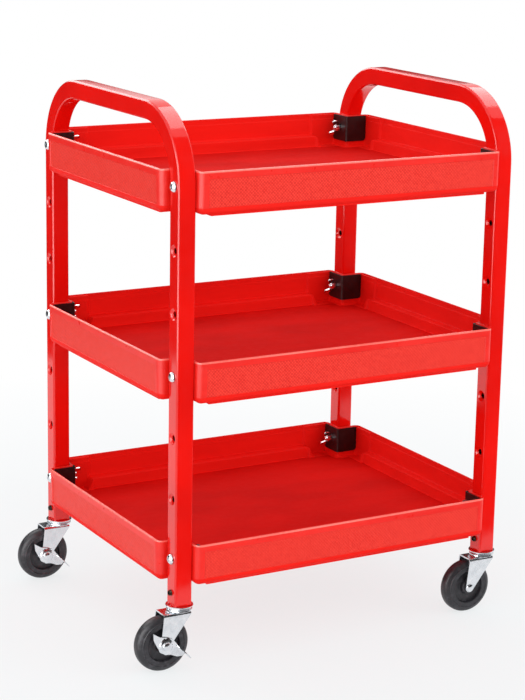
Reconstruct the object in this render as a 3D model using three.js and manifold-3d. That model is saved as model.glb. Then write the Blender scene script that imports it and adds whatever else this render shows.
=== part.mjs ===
// Rolling utility cart: two bent square-tube end frames carry three moulded trays, and each
// leg stands on a swivel stem caster. Millimetres, +Z up, X along the cart, -Y its front.
// The cart is built about the centre of its four legs, and moved at the end so that the
// origin lies on the floor under the centre of its bounding box.
import * as THREE from 'three';
import { mergeVertices } from 'three/addons/utils/BufferGeometryUtils.js';
import Module from 'manifold-3d';

const wasm = await Module();
wasm.setup();

// ---- Driving dimensions ------------------------------------------------------------------
const GAP = 0.3;                 // running gap kept between neighbouring pieces
const HOLE_FACETS = 8;           // sides of the small round pieces and their holes
const AXLE_FACETS = 10;
const RACE_FACETS = 14;
const WHEEL_FACETS = 20;

// End frames
const LEG_SPACING_X = 488;       // between leg centres, along the cart
const LEG_SPACING_Y = 394;       // between leg centres, across the cart
const TUBE = 25.4;               // outside of the square tube
const TUBE_WALL = 1.6;
const TUBE_CORNER = 2.6;         // outside corner radius of the tube
const FRAME_TOP = 748;           // top of the handle above the floor
const BEND_RADIUS = 88;          // tube centre line at the two bends of a frame
const LEG_BOTTOM = 89;           // open end of a leg above the floor

// Row of adjustment holes up each leg
const HOLE_PITCH = 82.5;
const HOLE_COUNT = 7;
const LOWEST_TRAY = 8.5;         // underside of the bottom tray above the set screws
const BOLTED_HOLES = { bottom: 0, middle: 3, top: 6 };
const DIMPLE_WIDTH = 16;         // pressed ring round each free hole
const DIMPLE_DEPTH = 0.9;

// Trays
const TRAY_OVERHANG = 11;        // how far the outer walls stand proud of the legs
const TRAY_WALL = 3.2;
const TRAY_RIM = 20.5;           // rim above the bolt that carries the corner
const TRAY_DEPTH = 56;           // rim to the lower edge of the outer wall
const TRAY_END_RADIUS = 10;      // plan radius where a wall turns in to the leg
const TRAY_LOWER_RADIUS = 8;     // section radius along the lower edge of the wall
const TRAY_RIM_RADIUS = 1.2;
const TRAY_DRAFT = 1.2;          // how much the wall leans in by its lower edge
const PANEL_TOP = 10;            // rim down to the sunk panel in each outer wall
const PANEL_BOTTOM = 9;          // lower edge of the wall up to the panel
const PANEL_END = 13;            // end of the wall to the panel
const PANEL_STEP = 0.8;
const NOTCH_SLACK = 0.9;         // across the cart, where the frame has to spring into its notches
const CORNER_PAD = 3;            // extra wall thickness beside each corner
const CORNER_PAD_LENGTH = 44;
const WELL_RADIUS = 1;           // where the well meets the notches
const LEDGE_DEPTH = 33;          // rim down to the ledge round the well
const LEDGE_FRONT = 18;          // ledge width along the long walls
const LEDGE_SIDE = 14;           // ledge width along the short walls
const LEDGE_SLOPE = 9;           // run of the slope at each end of a ledge
const SCALLOPS = 2;
const SCALLOP_WIDTH = 16;
const SCALLOP_PITCH = 21;
const FLOOR_DEPTH = 48.5;        // rim down to the floor of the well
const FLOOR_THICKNESS = 3;
const LIP_DROP = 3;              // underside ribs below the edge of the wall
const LIP_INSET = 8;
const LIP_END = 20;              // end of the wall to where the lip starts
const RIB = 2.4;
const RIBS_ALONG = 2;
const RIBS_ACROSS = 4;

// Corner brackets, bolts and wing nuts
const BRACKET_THICKNESS = 1.8;
const BRACKET_HEIGHT = 38;
const BRACKET_ABOVE_BOLT = 12.5;
const BRACKET_CORNER = 5;
const BOLT_DIAMETER = 7.8;
const BOLT_HEAD = 14.5;
const BOLT_HEAD_HEIGHT = 4.4;
const BOLT_TAIL = 3.5;           // thread that shows past the wing nut
const NUT_HUB = 12;
const NUT_HEIGHT = 6.5;
const NUT_SPAN = 27;
const NUT_WING_HEIGHT = 8;
const NUT_WING = 1.8;

// Casters
const WHEEL_DIAMETER = 76;
const WHEEL_WIDTH = 21;
const WHEEL_HUB = 20;
const WHEEL_RECESS = 5;          // sunk faces between the hub and the tyre
const TYRE_DEPTH = 9;            // tread in to the edge of the recess
const TYRE_BEVEL = 4;
const CASTER_TRAIL = 27;         // axle behind the swivel axis
const AXLE_DIAMETER = 7.8;
const RIVET_RISE = 2;            // heads of the axle and of the kingpin
const RIVET_FLARE = 1.6;
const FORK_PLATE = 2.2;
const FORK_FRONT = 11;           // fork plate ahead of the swivel axis
const FORK_REAR = 1.5;           // and behind the axle
const FORK_BEND = 3.4;
const FORK_EYE = 6.6;            // radius of the fork round the axle
const CROWN_CLEARANCE = 3;       // wheel to the underside of the fork plate
const HUB_CLEARANCE = 0.9;       // wheel hub to each fork leg
const FLANGE_DIAMETER = 37.5;
const FLANGE_THICKNESS = 1.9;
const RACE_DIAMETER = 35;
const RACE_TAPER = 2.6;          // how much the upper ball race draws in towards its flange
const STEM_LENGTH = 40;
const KINGPIN = 9.4;
const SET_SCREW_HEIGHT = 17;     // above the end of the leg
const SET_SCREW_DIAMETER = 7.8;
const SET_SCREW_PROUD = 3.6;
const SET_SCREW_KEY = 4.4;
const SET_SCREW_SOCKET = 2.6;
const LEVER_THICKNESS = 1.8;
const LEVER_BOSS = 7.6;          // radius of the raised boss round the axle
const LEVER_BOSS_RISE = 1.5;
// Lever outline about the axle, seen from the front: a pointed wing up to the left and a
// broad one down to the right, as [x, z, radius, segments].
const LEVER_OUTLINE = [
  [-19.8, 21.6, 0.9, 1], [-18.4, 12, 9, 1], [-7.6, -5.6, 8, 1], [-0.5, -10.8, 9, 2],
  [8, -11, 10, 1], [15.5, -15.6, 8, 1], [23.4, -16.2, 2.2, 1], [26.2, -12.4, 1.2, 1],
  [8.6, 7.4, 7, 2], [-8, 13, 8, 1],
];
// Pedal outline, as distances along the fold and out from the lever's face.
const PEDAL_OUTLINE = [[0, 0], [0.6, 6.5, 3, 1], [13, 12.5, 5], [27.5, 12, 4], [22.5, 2, 5, 1], [14.2, 0]];
const PEDAL_ANGLE = -48.4;       // of the fold, in degrees from level
const PEDAL_FOLD = [15.5, -1.7]; // upper end of the fold from the axle

// ---- Values that follow from them --------------------------------------------------------
const LEG_X = LEG_SPACING_X / 2;
const LEG_Y = LEG_SPACING_Y / 2;
const HALF_TUBE = TUBE / 2;
const HOLE = BOLT_DIAMETER + 2 * GAP;
const FIRST_HOLE = LEG_BOTTOM + SET_SCREW_HEIGHT + LOWEST_TRAY + TRAY_DEPTH + LIP_DROP - TRAY_RIM;
const BEND_START = FRAME_TOP - HALF_TUBE - BEND_RADIUS;
const TOP_RIM = FIRST_HOLE + BOLTED_HOLES.top * HOLE_PITCH + TRAY_RIM;
const BEND_INSIDE = BEND_RADIUS - HALF_TUBE;
const RIM_RISE = Math.max(0, TOP_RIM - BEND_START);     // rim above the start of the bend
const BEND_ROOM = BEND_INSIDE - Math.sqrt(BEND_INSIDE ** 2 - RIM_RISE ** 2);
const NOTCH_X = HALF_TUBE + GAP;                        // leg axis to the faces of a notch
const NOTCH_Y = HALF_TUBE + NOTCH_SLACK + BEND_ROOM;
const TRAY_X = LEG_X + HALF_TUBE + TRAY_OVERHANG;       // tray half sizes
const TRAY_Y = LEG_Y + HALF_TUBE + TRAY_OVERHANG;
const PAD_X = LEG_X - NOTCH_X - CORNER_PAD_LENGTH;      // where the thick corners of a wall end
const PAD_Y = LEG_Y - NOTCH_Y - CORNER_PAD_LENGTH;
const BRACKET_X = NOTCH_X + TRAY_WALL + GAP;            // leg axis to the back of a bracket
const BRACKET_Y = NOTCH_Y + TRAY_WALL + GAP;
const BRACKET_END = HALF_TUBE + TRAY_OVERHANG - TRAY_WALL - CORNER_PAD - WELL_RADIUS - GAP;
const NUT_FACE = BRACKET_X + BRACKET_THICKNESS + GAP;
const AXLE_HEIGHT = WHEEL_DIAMETER / 2;
const FORK_UNDER = WHEEL_DIAMETER + CROWN_CLEARANCE;
const FORK_TOP = FORK_UNDER + FORK_PLATE;
const FORK_INSIDE = WHEEL_WIDTH / 2 + HUB_CLEARANCE;
const FORK_OUTSIDE = FORK_INSIDE + FORK_PLATE;
const RACE_HEIGHT = (LEG_BOTTOM - GAP - FLANGE_THICKNESS - FORK_TOP) / 2;

const CORNERS = [
  { name: 'front_left', x: -1, y: -1 },
  { name: 'front_right', x: 1, y: -1 },
  { name: 'rear_left', x: -1, y: 1 },
  { name: 'rear_right', x: 1, y: 1 },
];

// ---- Materials ---------------------------------------------------------------------------
function material(color, roughness, metalness) {
  return new THREE.MeshStandardMaterial({ color, roughness, metalness });
}
const POWDER_COAT = material(0xd8140f, 0.28, 0.0);
const RED_PLASTIC = material(0xd5221c, 0.5, 0.0);
const BLACK_STEEL = material(0x141113, 0.42, 0.3);
const ZINC = material(0xc9ced2, 0.28, 1.0);
const BLACK_OXIDE = material(0x1b1714, 0.4, 0.8);
const BLACK_WHEEL = material(0x26252a, 0.55, 0.0);

// ---- Solid modelling helpers -------------------------------------------------------------
// A closed three.js geometry as a manifold solid.
function solid(geometry) {
  const bare = geometry.clone();
  bare.deleteAttribute('normal');
  bare.deleteAttribute('uv');
  const merged = mergeVertices(bare, 1e-4);
  const vertProperties = new Float32Array(merged.attributes.position.array);
  const triVerts = new Uint32Array(merged.index.array);
  return new wasm.Manifold(new wasm.Mesh({ numProp: 3, vertProperties, triVerts }));
}

// A manifold solid as a named mesh.
function mesh(name, body, finish) {
  const { vertProperties, triVerts, numProp } = body.getMesh();
  const position = [];
  for (let i = 0; i < vertProperties.length; i += numProp) {
    position.push(vertProperties[i], vertProperties[i + 1], vertProperties[i + 2]);
  }
  const geometry = new THREE.BufferGeometry();
  geometry.setAttribute('position', new THREE.Float32BufferAttribute(position, 3));
  geometry.setIndex([...triVerts]);
  geometry.computeVertexNormals();
  const piece = new THREE.Mesh(geometry, finish);
  piece.name = name;
  return piece;
}

function union(solids) {
  return solids.reduce((whole, next) => whole.add(next));
}

function box(x0, x1, y0, y1, z0, z1) {
  const geometry = new THREE.BoxGeometry(x1 - x0, y1 - y0, z1 - z0);
  geometry.translate((x0 + x1) / 2, (y0 + y1) / 2, (z0 + z1) / 2);
  return solid(geometry);
}

// A round bar or cone along +X from x0 to x1, or along +Z when upright is set.
function bar(x0, x1, radius0, radius1, segments, upright = false) {
  const geometry = new THREE.CylinderGeometry(radius1, radius0, x1 - x0, segments);
  geometry.translate(0, (x0 + x1) / 2, 0);
  if (upright) {
    geometry.rotateX(Math.PI / 2);
  } else {
    geometry.rotateZ(-Math.PI / 2);
  }
  return solid(geometry);
}

// A profile of [radius, height] pairs turned about Z. It starts and ends on the axis.
function turned(profile, segments) {
  const points = profile.map(([radius, height]) => new THREE.Vector2(radius, height));
  const geometry = new THREE.LatheGeometry(points, segments);
  geometry.rotateX(Math.PI / 2);
  return solid(geometry);
}

// A closed loop through corners [x, y, radius, segments]. A corner with no radius is sharp.
function roundedLoop(corners) {
  const loop = [];
  corners.forEach(([x, y, radius = 0, segments = 2], index) => {
    const corner = new THREE.Vector2(x, y);
    const [px, py] = corners[(index + corners.length - 1) % corners.length];
    const [nx, ny] = corners[(index + 1) % corners.length];
    const back = new THREE.Vector2(px, py).sub(corner).normalize();
    const ahead = new THREE.Vector2(nx, ny).sub(corner).normalize();
    if (radius === 0) {
      loop.push(corner);
      return;
    }
    const half = Math.acos(THREE.MathUtils.clamp(back.dot(ahead), -1, 1)) / 2;
    const centre = back.clone().add(ahead).normalize();
    centre.multiplyScalar(radius / Math.sin(half)).add(corner);
    const start = back.multiplyScalar(radius / Math.tan(half)).add(corner).sub(centre);
    const end = ahead.multiplyScalar(radius / Math.tan(half)).add(corner).sub(centre);
    const sweep = Math.atan2(start.cross(end), start.dot(end));
    for (let step = 0; step <= segments; step += 1) {
      loop.push(start.clone().rotateAround(new THREE.Vector2(), (sweep * step) / segments).add(centre));
    }
  });
  return loop;
}

// An outline in XY raised from z0 to z1.
function prism(loop, z0, z1) {
  const geometry = new THREE.ExtrudeGeometry(new THREE.Shape(loop), {
    depth: z1 - z0, bevelEnabled: false,
  });
  geometry.translate(0, 0, z0);
  return solid(geometry);
}

// A skin over rings of equally many points, closed by a flat cap on the first and the last.
function loft(rings, capLoop) {
  const count = capLoop.length;
  const index = [];
  for (let ring = 0; ring < rings.length - 1; ring += 1) {
    for (let j = 0; j < count; j += 1) {
      const a = ring * count + j;
      const b = ring * count + ((j + 1) % count);
      index.push(a, b, b + count, a, b + count, a + count);
    }
  }
  const last = (rings.length - 1) * count;
  THREE.ShapeUtils.triangulateShape(capLoop, []).forEach(([a, b, c]) => {
    index.push(a, c, b, last + a, last + b, last + c);
  });
  const geometry = new THREE.BufferGeometry();
  const position = rings.flat().flatMap((point) => [point.x, point.y, point.z]);
  geometry.setAttribute('position', new THREE.Float32BufferAttribute(position, 3));
  geometry.setIndex(index);
  return solid(geometry);
}

// ---- End frame: one bent square tube -----------------------------------------------------
// Stations along the centre line of the tube, each with the direction of its outer side.
function framePath(start) {
  const bendTop = FRAME_TOP - HALF_TUBE;
  const stations = [{ y: -LEG_Y, z: start, angle: Math.PI }];
  const steps = 8;
  for (let step = 0; step <= steps; step += 1) {
    const angle = Math.PI - (step / steps) * (Math.PI / 2);
    stations.push({
      y: -LEG_Y + BEND_RADIUS + BEND_RADIUS * Math.cos(angle),
      z: bendTop - BEND_RADIUS + BEND_RADIUS * Math.sin(angle),
      angle,
    });
  }
  const mirrored = stations.map(({ y, z, angle }) => ({ y: -y, z, angle: Math.PI - angle }));
  return stations.concat(mirrored.reverse());
}

function sweptTube(section, start) {
  const rings = framePath(start).map(({ y, z, angle }) => section.map((point) => (
    new THREE.Vector3(
      -point.x,
      y + point.y * Math.cos(angle),
      z + point.y * Math.sin(angle),
    )
  )));
  return loft(rings, section);
}

function squareSection(width, radius) {
  const half = width / 2;
  const corners = [[-half, -half], [half, -half], [half, half], [-half, half]];
  return roundedLoop(corners.map(([x, y]) => [x, y, radius, 1]));
}

function holeHeights() {
  return Array.from({ length: HOLE_COUNT }, (_, index) => FIRST_HOLE + index * HOLE_PITCH);
}

function dimple(side) {
  const face = side * (HALF_TUBE + 0.01);
  const floor = side * (HALF_TUBE - DIMPLE_DEPTH);
  if (side > 0) {
    return bar(floor, face, HOLE / 2, DIMPLE_WIDTH / 2, HOLE_FACETS);
  }
  return bar(face, floor, DIMPLE_WIDTH / 2, HOLE / 2, HOLE_FACETS);
}

function endFrame(name) {
  const outer = sweptTube(squareSection(TUBE, TUBE_CORNER), LEG_BOTTOM);
  const inner = sweptTube(squareSection(TUBE - 2 * TUBE_WALL, 0), LEG_BOTTOM - 1);
  const cuts = [];
  const bolted = Object.values(BOLTED_HOLES);
  [-LEG_Y, LEG_Y].forEach((y) => {
    holeHeights().forEach((z, index) => {
      cuts.push(bar(-TUBE, TUBE, HOLE / 2, HOLE / 2, HOLE_FACETS).translate([0, y, z]));
      if (!bolted.includes(index)) {
        cuts.push(dimple(-1).translate([0, y, z]), dimple(1).translate([0, y, z]));
      }
    });
    const screw = SET_SCREW_DIAMETER / 2 + GAP;
    const height = LEG_BOTTOM + SET_SCREW_HEIGHT;
    cuts.push(bar(-TUBE, 0, screw, screw, HOLE_FACETS).translate([0, y, height]));
  });
  return mesh(name, outer.subtract(inner).subtract(union(cuts)), POWDER_COAT);
}

// ---- Tray --------------------------------------------------------------------------------
// Plan outline of a tray: a rectangle with a notch round each leg. The insets pull in the
// outer walls and the faces of the notches, and the radius rounds where they meet.
function trayPlan(inset, insetNotch, outside = Math.max(WELL_RADIUS, TRAY_END_RADIUS - inset)) {
  const halfX = TRAY_X - inset;
  const halfY = TRAY_Y - inset;
  const notchX = LEG_X - NOTCH_X - insetNotch;
  const notchY = LEG_Y - NOTCH_Y - insetNotch;
  const inside = TUBE_CORNER + insetNotch;
  const turns = [[1, -1], [1, 1], [-1, 1], [-1, -1]];
  const corners = turns.flatMap(([sx, sy]) => {
    const ends = [[notchX * sx, halfY * sy, outside], [halfX * sx, notchY * sy, outside]];
    const notch = [notchX * sx, notchY * sy, inside, 1];
    return sx * sy < 0 ? [ends[0], notch, ends[1]] : [ends[1], notch, ends[0]];
  });
  return roundedLoop(corners);
}

function trayLoft(levels) {
  const rings = levels.map(([inset, z, insetNotch]) => (
    trayPlan(inset, insetNotch).map((point) => new THREE.Vector3(point.x, point.y, z))
  ));
  return loft(rings, trayPlan(levels[0][0], levels[0][2]));
}

// Outer form, from the lower edge up to the rim. Heights are measured down from the rim.
function trayBlank() {
  const levels = [];
  const turn = TRAY_LOWER_RADIUS;
  const steps = 2;
  for (let step = 0; step <= steps; step += 1) {
    const angle = (Math.PI / 2) * (1 - step / steps);
    const inset = turn * (1 - Math.cos(angle));
    levels.push([TRAY_DRAFT + inset, -TRAY_DEPTH + turn * (1 - Math.sin(angle)), inset]);
  }
  levels.push([0, -TRAY_RIM_RADIUS, 0]);
  levels.push([TRAY_RIM_RADIUS, 0, 0]);
  return trayLoft(levels).subtract(panels());
}

// A shallow pocket in each outer wall, which leaves a plain raised border round its panel.
function panels() {
  const low = PANEL_BOTTOM - TRAY_DEPTH;
  const high = -PANEL_TOP;
  const straight = TRAY_DEPTH - TRAY_LOWER_RADIUS - TRAY_RIM_RADIUS;
  const lean = (z) => (-TRAY_DRAFT * (z + TRAY_RIM_RADIUS)) / straight;
  const pocket = (wall, half) => prism(roundedLoop([
    [wall + 1, low], [wall + 1, high],
    [wall - lean(high) - PANEL_STEP, high], [wall - lean(low) - PANEL_STEP, low],
  ]), -half, half);
  const long = pocket(TRAY_Y, LEG_X - NOTCH_X - PANEL_END).rotate([90, 0, 90]);
  const short = pocket(TRAY_X, LEG_Y - NOTCH_Y - PANEL_END).rotate([90, 0, 0]);
  return union([long, long.mirror([0, 1, 0]), short, short.mirror([1, 0, 0])]);
}

// The space inside a tray. Its walls are thick beside the legs and thin between them, where
// a ledge runs along each wall.
function trayInside() {
  const above = 1;
  const inset = TRAY_WALL + CORNER_PAD;
  const well = prism(trayPlan(inset, TRAY_WALL, WELL_RADIUS), -FLOOR_DEPTH, above);
  const alongX = box(-PAD_X, PAD_X, -TRAY_Y, TRAY_Y, -LEDGE_DEPTH, above);
  const alongY = box(-TRAY_X, TRAY_X, -PAD_Y, PAD_Y, -LEDGE_DEPTH, above);
  const between = prism(trayPlan(TRAY_WALL, TRAY_WALL), -LEDGE_DEPTH, above);
  const thin = between.intersect(alongX.add(alongY));
  const long = ledge(PAD_X, TRAY_Y, TRAY_WALL + LEDGE_FRONT);
  const short = ledge(PAD_Y, TRAY_X, TRAY_WALL + LEDGE_SIDE).rotate([0, 0, 90]);
  return union([well.subtract(long).subtract(short), thin, scallops()]);
}

// Two facing ledges with sloping ends, from y = +-wall to the given width inside it. The
// cover is taken off their upper faces, for the hollow under them.
function ledge(halfLength, wall, width, cover = 0) {
  const low = -FLOOR_DEPTH - FLOOR_THICKNESS - 1;
  const foot = halfLength + LEDGE_SLOPE - cover;
  const upper = -LEDGE_DEPTH - cover;
  const head = halfLength - cover;
  const face = roundedLoop([[-foot, low], [foot, low], [head, upper], [-head, upper]]);
  const body = prism(face, -wall, wall).rotate([90, 0, 0]);
  return body.subtract(box(-2 * foot, 2 * foot, width - wall, wall - width, low - 1, 0));
}

// Half-round tool recesses in the face of the rear ledge, at its left end.
function scallops() {
  const radius = SCALLOP_WIDTH / 2;
  const face = TRAY_Y - TRAY_WALL - LEDGE_FRONT;
  const one = bar(-FLOOR_DEPTH, 1 - LEDGE_DEPTH, radius, radius, AXLE_FACETS, true);
  return union(Array.from({ length: SCALLOPS }, (_, index) => (
    one.translate([-PAD_X + SCALLOP_PITCH * (index + 1), face, 0])
  )));
}

// Hollow underside, crossed by ribs that stand a little below the edge of the wall.
function trayUnderside() {
  const bottom = -TRAY_DEPTH - LIP_DROP;
  const top = -FLOOR_DEPTH - FLOOR_THICKNESS;
  const rim = LIP_INSET;
  const lip = prism(trayPlan(rim, LIP_END, WELL_RADIUS), bottom, -TRAY_DEPTH + 1);
  const hollow = prism(trayPlan(rim + RIB, LIP_END + RIB, WELL_RADIUS), bottom - 1, top);
  const ribs = [];
  for (let i = 1; i <= RIBS_ALONG; i += 1) {
    const y = -TRAY_Y + (2 * TRAY_Y * i) / (RIBS_ALONG + 1);
    ribs.push(box(-TRAY_X, TRAY_X, y - RIB / 2, y + RIB / 2, bottom, top + 1));
  }
  for (let i = 1; i <= RIBS_ACROSS; i += 1) {
    const x = -TRAY_X + (2 * TRAY_X * i) / (RIBS_ACROSS + 1);
    ribs.push(box(x - RIB / 2, x + RIB / 2, -TRAY_Y, TRAY_Y, bottom, top + 1));
  }
  const skirt = rim + RIB;
  const width = TRAY_WALL + LEDGE_FRONT - skirt - FLOOR_THICKNESS;
  const long = ledge(PAD_X, TRAY_Y - skirt, width, FLOOR_THICKNESS);
  return { lip, hollow: hollow.add(long).subtract(union(ribs)) };
}

function tray(name, boltHeight) {
  const { lip, hollow } = trayUnderside();
  const holes = [-1, 1].map((sy) => (
    bar(-TRAY_X, TRAY_X, HOLE / 2, HOLE / 2, HOLE_FACETS).translate([0, sy * LEG_Y, -TRAY_RIM])
  ));
  const body = trayBlank().add(lip).subtract(trayInside()).subtract(hollow).subtract(union(holes));
  const piece = mesh(name, body, RED_PLASTIC);
  piece.position.z = boltHeight + TRAY_RIM;
  return piece;
}

// ---- Corner fastening --------------------------------------------------------------------
// These three are modelled at a corner whose leg axis is the origin, with the inside of the
// cart towards +X and +Y, and turned to their own corner by their group.
function cornerBracket(name, flip) {
  const x = BRACKET_X;
  const y = BRACKET_Y;
  const end = -BRACKET_END;
  const thick = BRACKET_THICKNESS;
  const plan = roundedLoop([
    [x, end], [x + thick, end], [x + thick, y + thick, 3, 1], [end, y + thick], [end, y], [x, y],
  ]);
  const top = BRACKET_ABOVE_BOLT;
  const bottom = top - BRACKET_HEIGHT;
  const reach = y + BRACKET_END;
  // The lower outer corner of each leaf is rounded off.
  const leaf = prism(roundedLoop([
    [end, bottom, BRACKET_CORNER], [reach, bottom], [reach, top], [end, top],
  ]), -reach, reach);
  const leaves = leaf.rotate([90, 0, 0]).intersect(leaf.rotate([90, 0, 90]));
  const hole = bar(0, 2 * x, HOLE / 2, HOLE / 2, HOLE_FACETS);
  const body = prism(plan, bottom, top).intersect(leaves).subtract(hole);
  return mesh(name, flip(body), BLACK_STEEL);
}

function bolt(name, flip) {
  const head = BOLT_HEAD / 2;
  const rise = BOLT_HEAD_HEIGHT;
  const shank = BOLT_DIAMETER / 2;
  const tip = HALF_TUBE + GAP + NUT_FACE + NUT_HEIGHT + BOLT_TAIL;
  const profile = [
    [0, -rise], [head * 0.6, -rise * 0.9], [head, 0], [shank, 0], [shank, tip], [0, tip],
  ];
  const body = turned(profile, HOLE_FACETS).rotate([0, 90, 0]).translate([-HALF_TUBE - GAP, 0, 0]);
  return mesh(name, flip(body), ZINC);
}

function wingNut(name, flip) {
  const hub = NUT_HUB / 2;
  const bore = BOLT_DIAMETER / 2 + GAP;
  const core = bar(0, NUT_HEIGHT, hub, hub * 0.84, HOLE_FACETS);
  const rise = NUT_HEIGHT + NUT_WING_HEIGHT;
  const wing = roundedLoop([
    [0.6, hub * 0.8], [0.6, hub + 1], [NUT_HEIGHT, NUT_SPAN / 2], [rise, NUT_SPAN / 2],
    [rise, hub + 2.5], [NUT_HEIGHT - 0.6, hub * 0.8],
  ]);
  const one = prism(wing, -NUT_WING / 2, NUT_WING / 2);
  const whole = core.add(one).add(one.rotate([180, 0, 0]));
  const body = whole.subtract(bar(-1, 2 * rise, bore, bore, HOLE_FACETS));
  return mesh(name, flip(body.rotate([-30, 0, 0]).translate([NUT_FACE, 0, 0])), ZINC);
}

// ---- Caster ------------------------------------------------------------------------------
// Modelled about its swivel axis, with the wheel trailing towards -X.
function casterStem(name) {
  const flange = FLANGE_DIAMETER / 2;
  const race = RACE_DIAMETER / 2;
  const top = LEG_BOTTOM - GAP;
  const under = top - FLANGE_THICKNESS;
  const raceBottom = FORK_TOP + RACE_HEIGHT + GAP;
  const stem = HALF_TUBE - TUBE_WALL - GAP;
  const pin = KINGPIN / 2;
  const rivet = FORK_UNDER - GAP;
  const head = pin + RIVET_FLARE;
  const profile = [
    [0, rivet - RIVET_RISE], [pin, rivet - RIVET_RISE], [head, rivet], [pin, rivet],
    [pin, raceBottom], [race, raceBottom], [race - RACE_TAPER, under],
    [flange, under], [flange, top], [stem, top],
    [stem, top + STEM_LENGTH], [0, top + STEM_LENGTH],
  ];
  return mesh(name, turned(profile, RACE_FACETS), ZINC);
}

// Side view of the fork, in X and Z: a wide crown that tapers down to the axle eye.
function forkSide() {
  const rear = -CASTER_TRAIL - FORK_REAR;
  const eye = new THREE.Vector2(-CASTER_TRAIL, AXLE_HEIGHT);
  const shape = [new THREE.Vector2(rear, FORK_TOP)];
  const from = THREE.MathUtils.degToRad(184);
  const to = THREE.MathUtils.degToRad(326);
  const steps = 5;
  for (let step = 0; step <= steps; step += 1) {
    const angle = from + ((to - from) * step) / steps;
    shape.push(new THREE.Vector2(Math.cos(angle), Math.sin(angle)).multiplyScalar(FORK_EYE).add(eye));
  }
  shape.push(new THREE.Vector2(FORK_FRONT, FORK_UNDER - FORK_PLATE));
  shape.push(new THREE.Vector2(FORK_FRONT, FORK_TOP));
  return shape;
}

function casterFork(name, leverSide) {
  const side = prism(forkSide(), -FORK_OUTSIDE, FORK_OUTSIDE).rotate([90, 0, 0]);
  const channel = roundedLoop([
    [-FORK_OUTSIDE, 0], [-FORK_INSIDE, 0],
    [-FORK_INSIDE, FORK_UNDER, FORK_BEND - FORK_PLATE, 1],
    [FORK_INSIDE, FORK_UNDER, FORK_BEND - FORK_PLATE, 1],
    [FORK_INSIDE, 0], [FORK_OUTSIDE, 0],
    [FORK_OUTSIDE, FORK_TOP, FORK_BEND], [-FORK_OUTSIDE, FORK_TOP, FORK_BEND],
  ]);
  const reach = CASTER_TRAIL * 2;
  const section = prism(channel, -reach, reach).rotate([90, 0, 90]);
  const race = RACE_DIAMETER / 2;
  const cup = turned([
    [0, FORK_UNDER + 0.5], [race - 4, FORK_UNDER + 0.5], [race, FORK_TOP + 0.4],
    [race - 1.2, FORK_TOP + RACE_HEIGHT], [0, FORK_TOP + RACE_HEIGHT],
  ], RACE_FACETS);
  const pin = KINGPIN / 2 + GAP;
  const pinHole = bar(FORK_UNDER - 5, FORK_TOP + 10, pin, pin, RACE_FACETS, true);
  const body = side.intersect(section).add(cup).subtract(pinHole).add(axle(leverSide));
  return mesh(name, body, ZINC);
}

// Axle riveted through both fork legs. It also carries the brake lever where there is one.
function axle(leverSide) {
  const radius = AXLE_DIAMETER / 2;
  const near = FORK_OUTSIDE + (leverSide ? LEVER_THICKNESS + LEVER_BOSS_RISE + 2 * GAP : 0);
  const head = radius + RIVET_FLARE;
  const profile = [
    [0, -near - RIVET_RISE], [radius, -near - RIVET_RISE], [head, -near], [radius, -near],
    [radius, FORK_OUTSIDE], [head, FORK_OUTSIDE], [0, FORK_OUTSIDE + RIVET_RISE],
  ];
  return turned(profile, AXLE_FACETS).rotate([-90, 0, 0]).translate([-CASTER_TRAIL, 0, AXLE_HEIGHT]);
}

// Wheel profile as [radius, half width] from the bore out to the tread.
function casterWheel(name) {
  const outer = WHEEL_DIAMETER / 2;
  const half = WHEEL_WIDTH / 2;
  const bore = AXLE_DIAMETER / 2 + GAP;
  const hub = WHEEL_HUB / 2;
  const web = half - WHEEL_RECESS;
  const tyre = outer - TYRE_DEPTH;
  const side = [
    [bore, half], [hub, half], [hub + 1, web], [tyre - 4, web], [tyre, half - 1],
    [outer, half - TYRE_BEVEL],
  ];
  const mirrored = side.map(([radius, z]) => [radius, -z]);
  const profile = [...mirrored, ...side.reverse(), mirrored[0]];
  const body = turned(profile, WHEEL_FACETS).rotate([-90, 0, 0]).translate([-CASTER_TRAIL, 0, AXLE_HEIGHT]);
  return mesh(name, body, BLACK_WHEEL);
}

function setScrew(name) {
  const inner = -(HALF_TUBE - TUBE_WALL - GAP) - GAP;
  const outer = -HALF_TUBE - SET_SCREW_PROUD;
  const radius = SET_SCREW_DIAMETER / 2;
  const key = SET_SCREW_KEY / Math.sqrt(3);
  const socket = bar(outer - 1, outer + SET_SCREW_SOCKET, key, key, 6);
  const body = bar(outer, inner, radius, radius, HOLE_FACETS).subtract(socket);
  return mesh(name, body.translate([0, 0, LEG_BOTTOM + SET_SCREW_HEIGHT]), BLACK_OXIDE);
}

// Two-winged stamped lever on the end of the axle, with a pedal folded out along one wing.
function brakeLever(name) {
  const bore = AXLE_DIAMETER / 2 + GAP;
  const thick = LEVER_THICKNESS;
  const plate = prism(roundedLoop(LEVER_OUTLINE), 0, thick);
  const face = thick + LEVER_BOSS_RISE;
  const boss = bar(thick / 2, face, LEVER_BOSS + 1, LEVER_BOSS - 1, AXLE_FACETS, true);
  const pedal = prism(roundedLoop(PEDAL_OUTLINE), -thick / 2, thick / 2).rotate([90, 0, 0]);
  const folded = pedal.rotate([0, 0, PEDAL_ANGLE]).translate([...PEDAL_FOLD, 0]);
  const shape = union([plate, boss, folded]).subtract(bar(-1, face + 1, bore, bore, AXLE_FACETS, true));
  const body = shape.rotate([90, 0, 0]);
  return mesh(name, body.translate([-CASTER_TRAIL, -FORK_OUTSIDE - GAP, AXLE_HEIGHT]), ZINC);
}

// ---- Assembly ----------------------------------------------------------------------------
const cart = new THREE.Group();

[['left', -1], ['right', 1]].forEach(([name, sx]) => {
  const frame = endFrame(`${name}_frame`);
  frame.position.x = sx * LEG_X;
  cart.add(frame);
});

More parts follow.
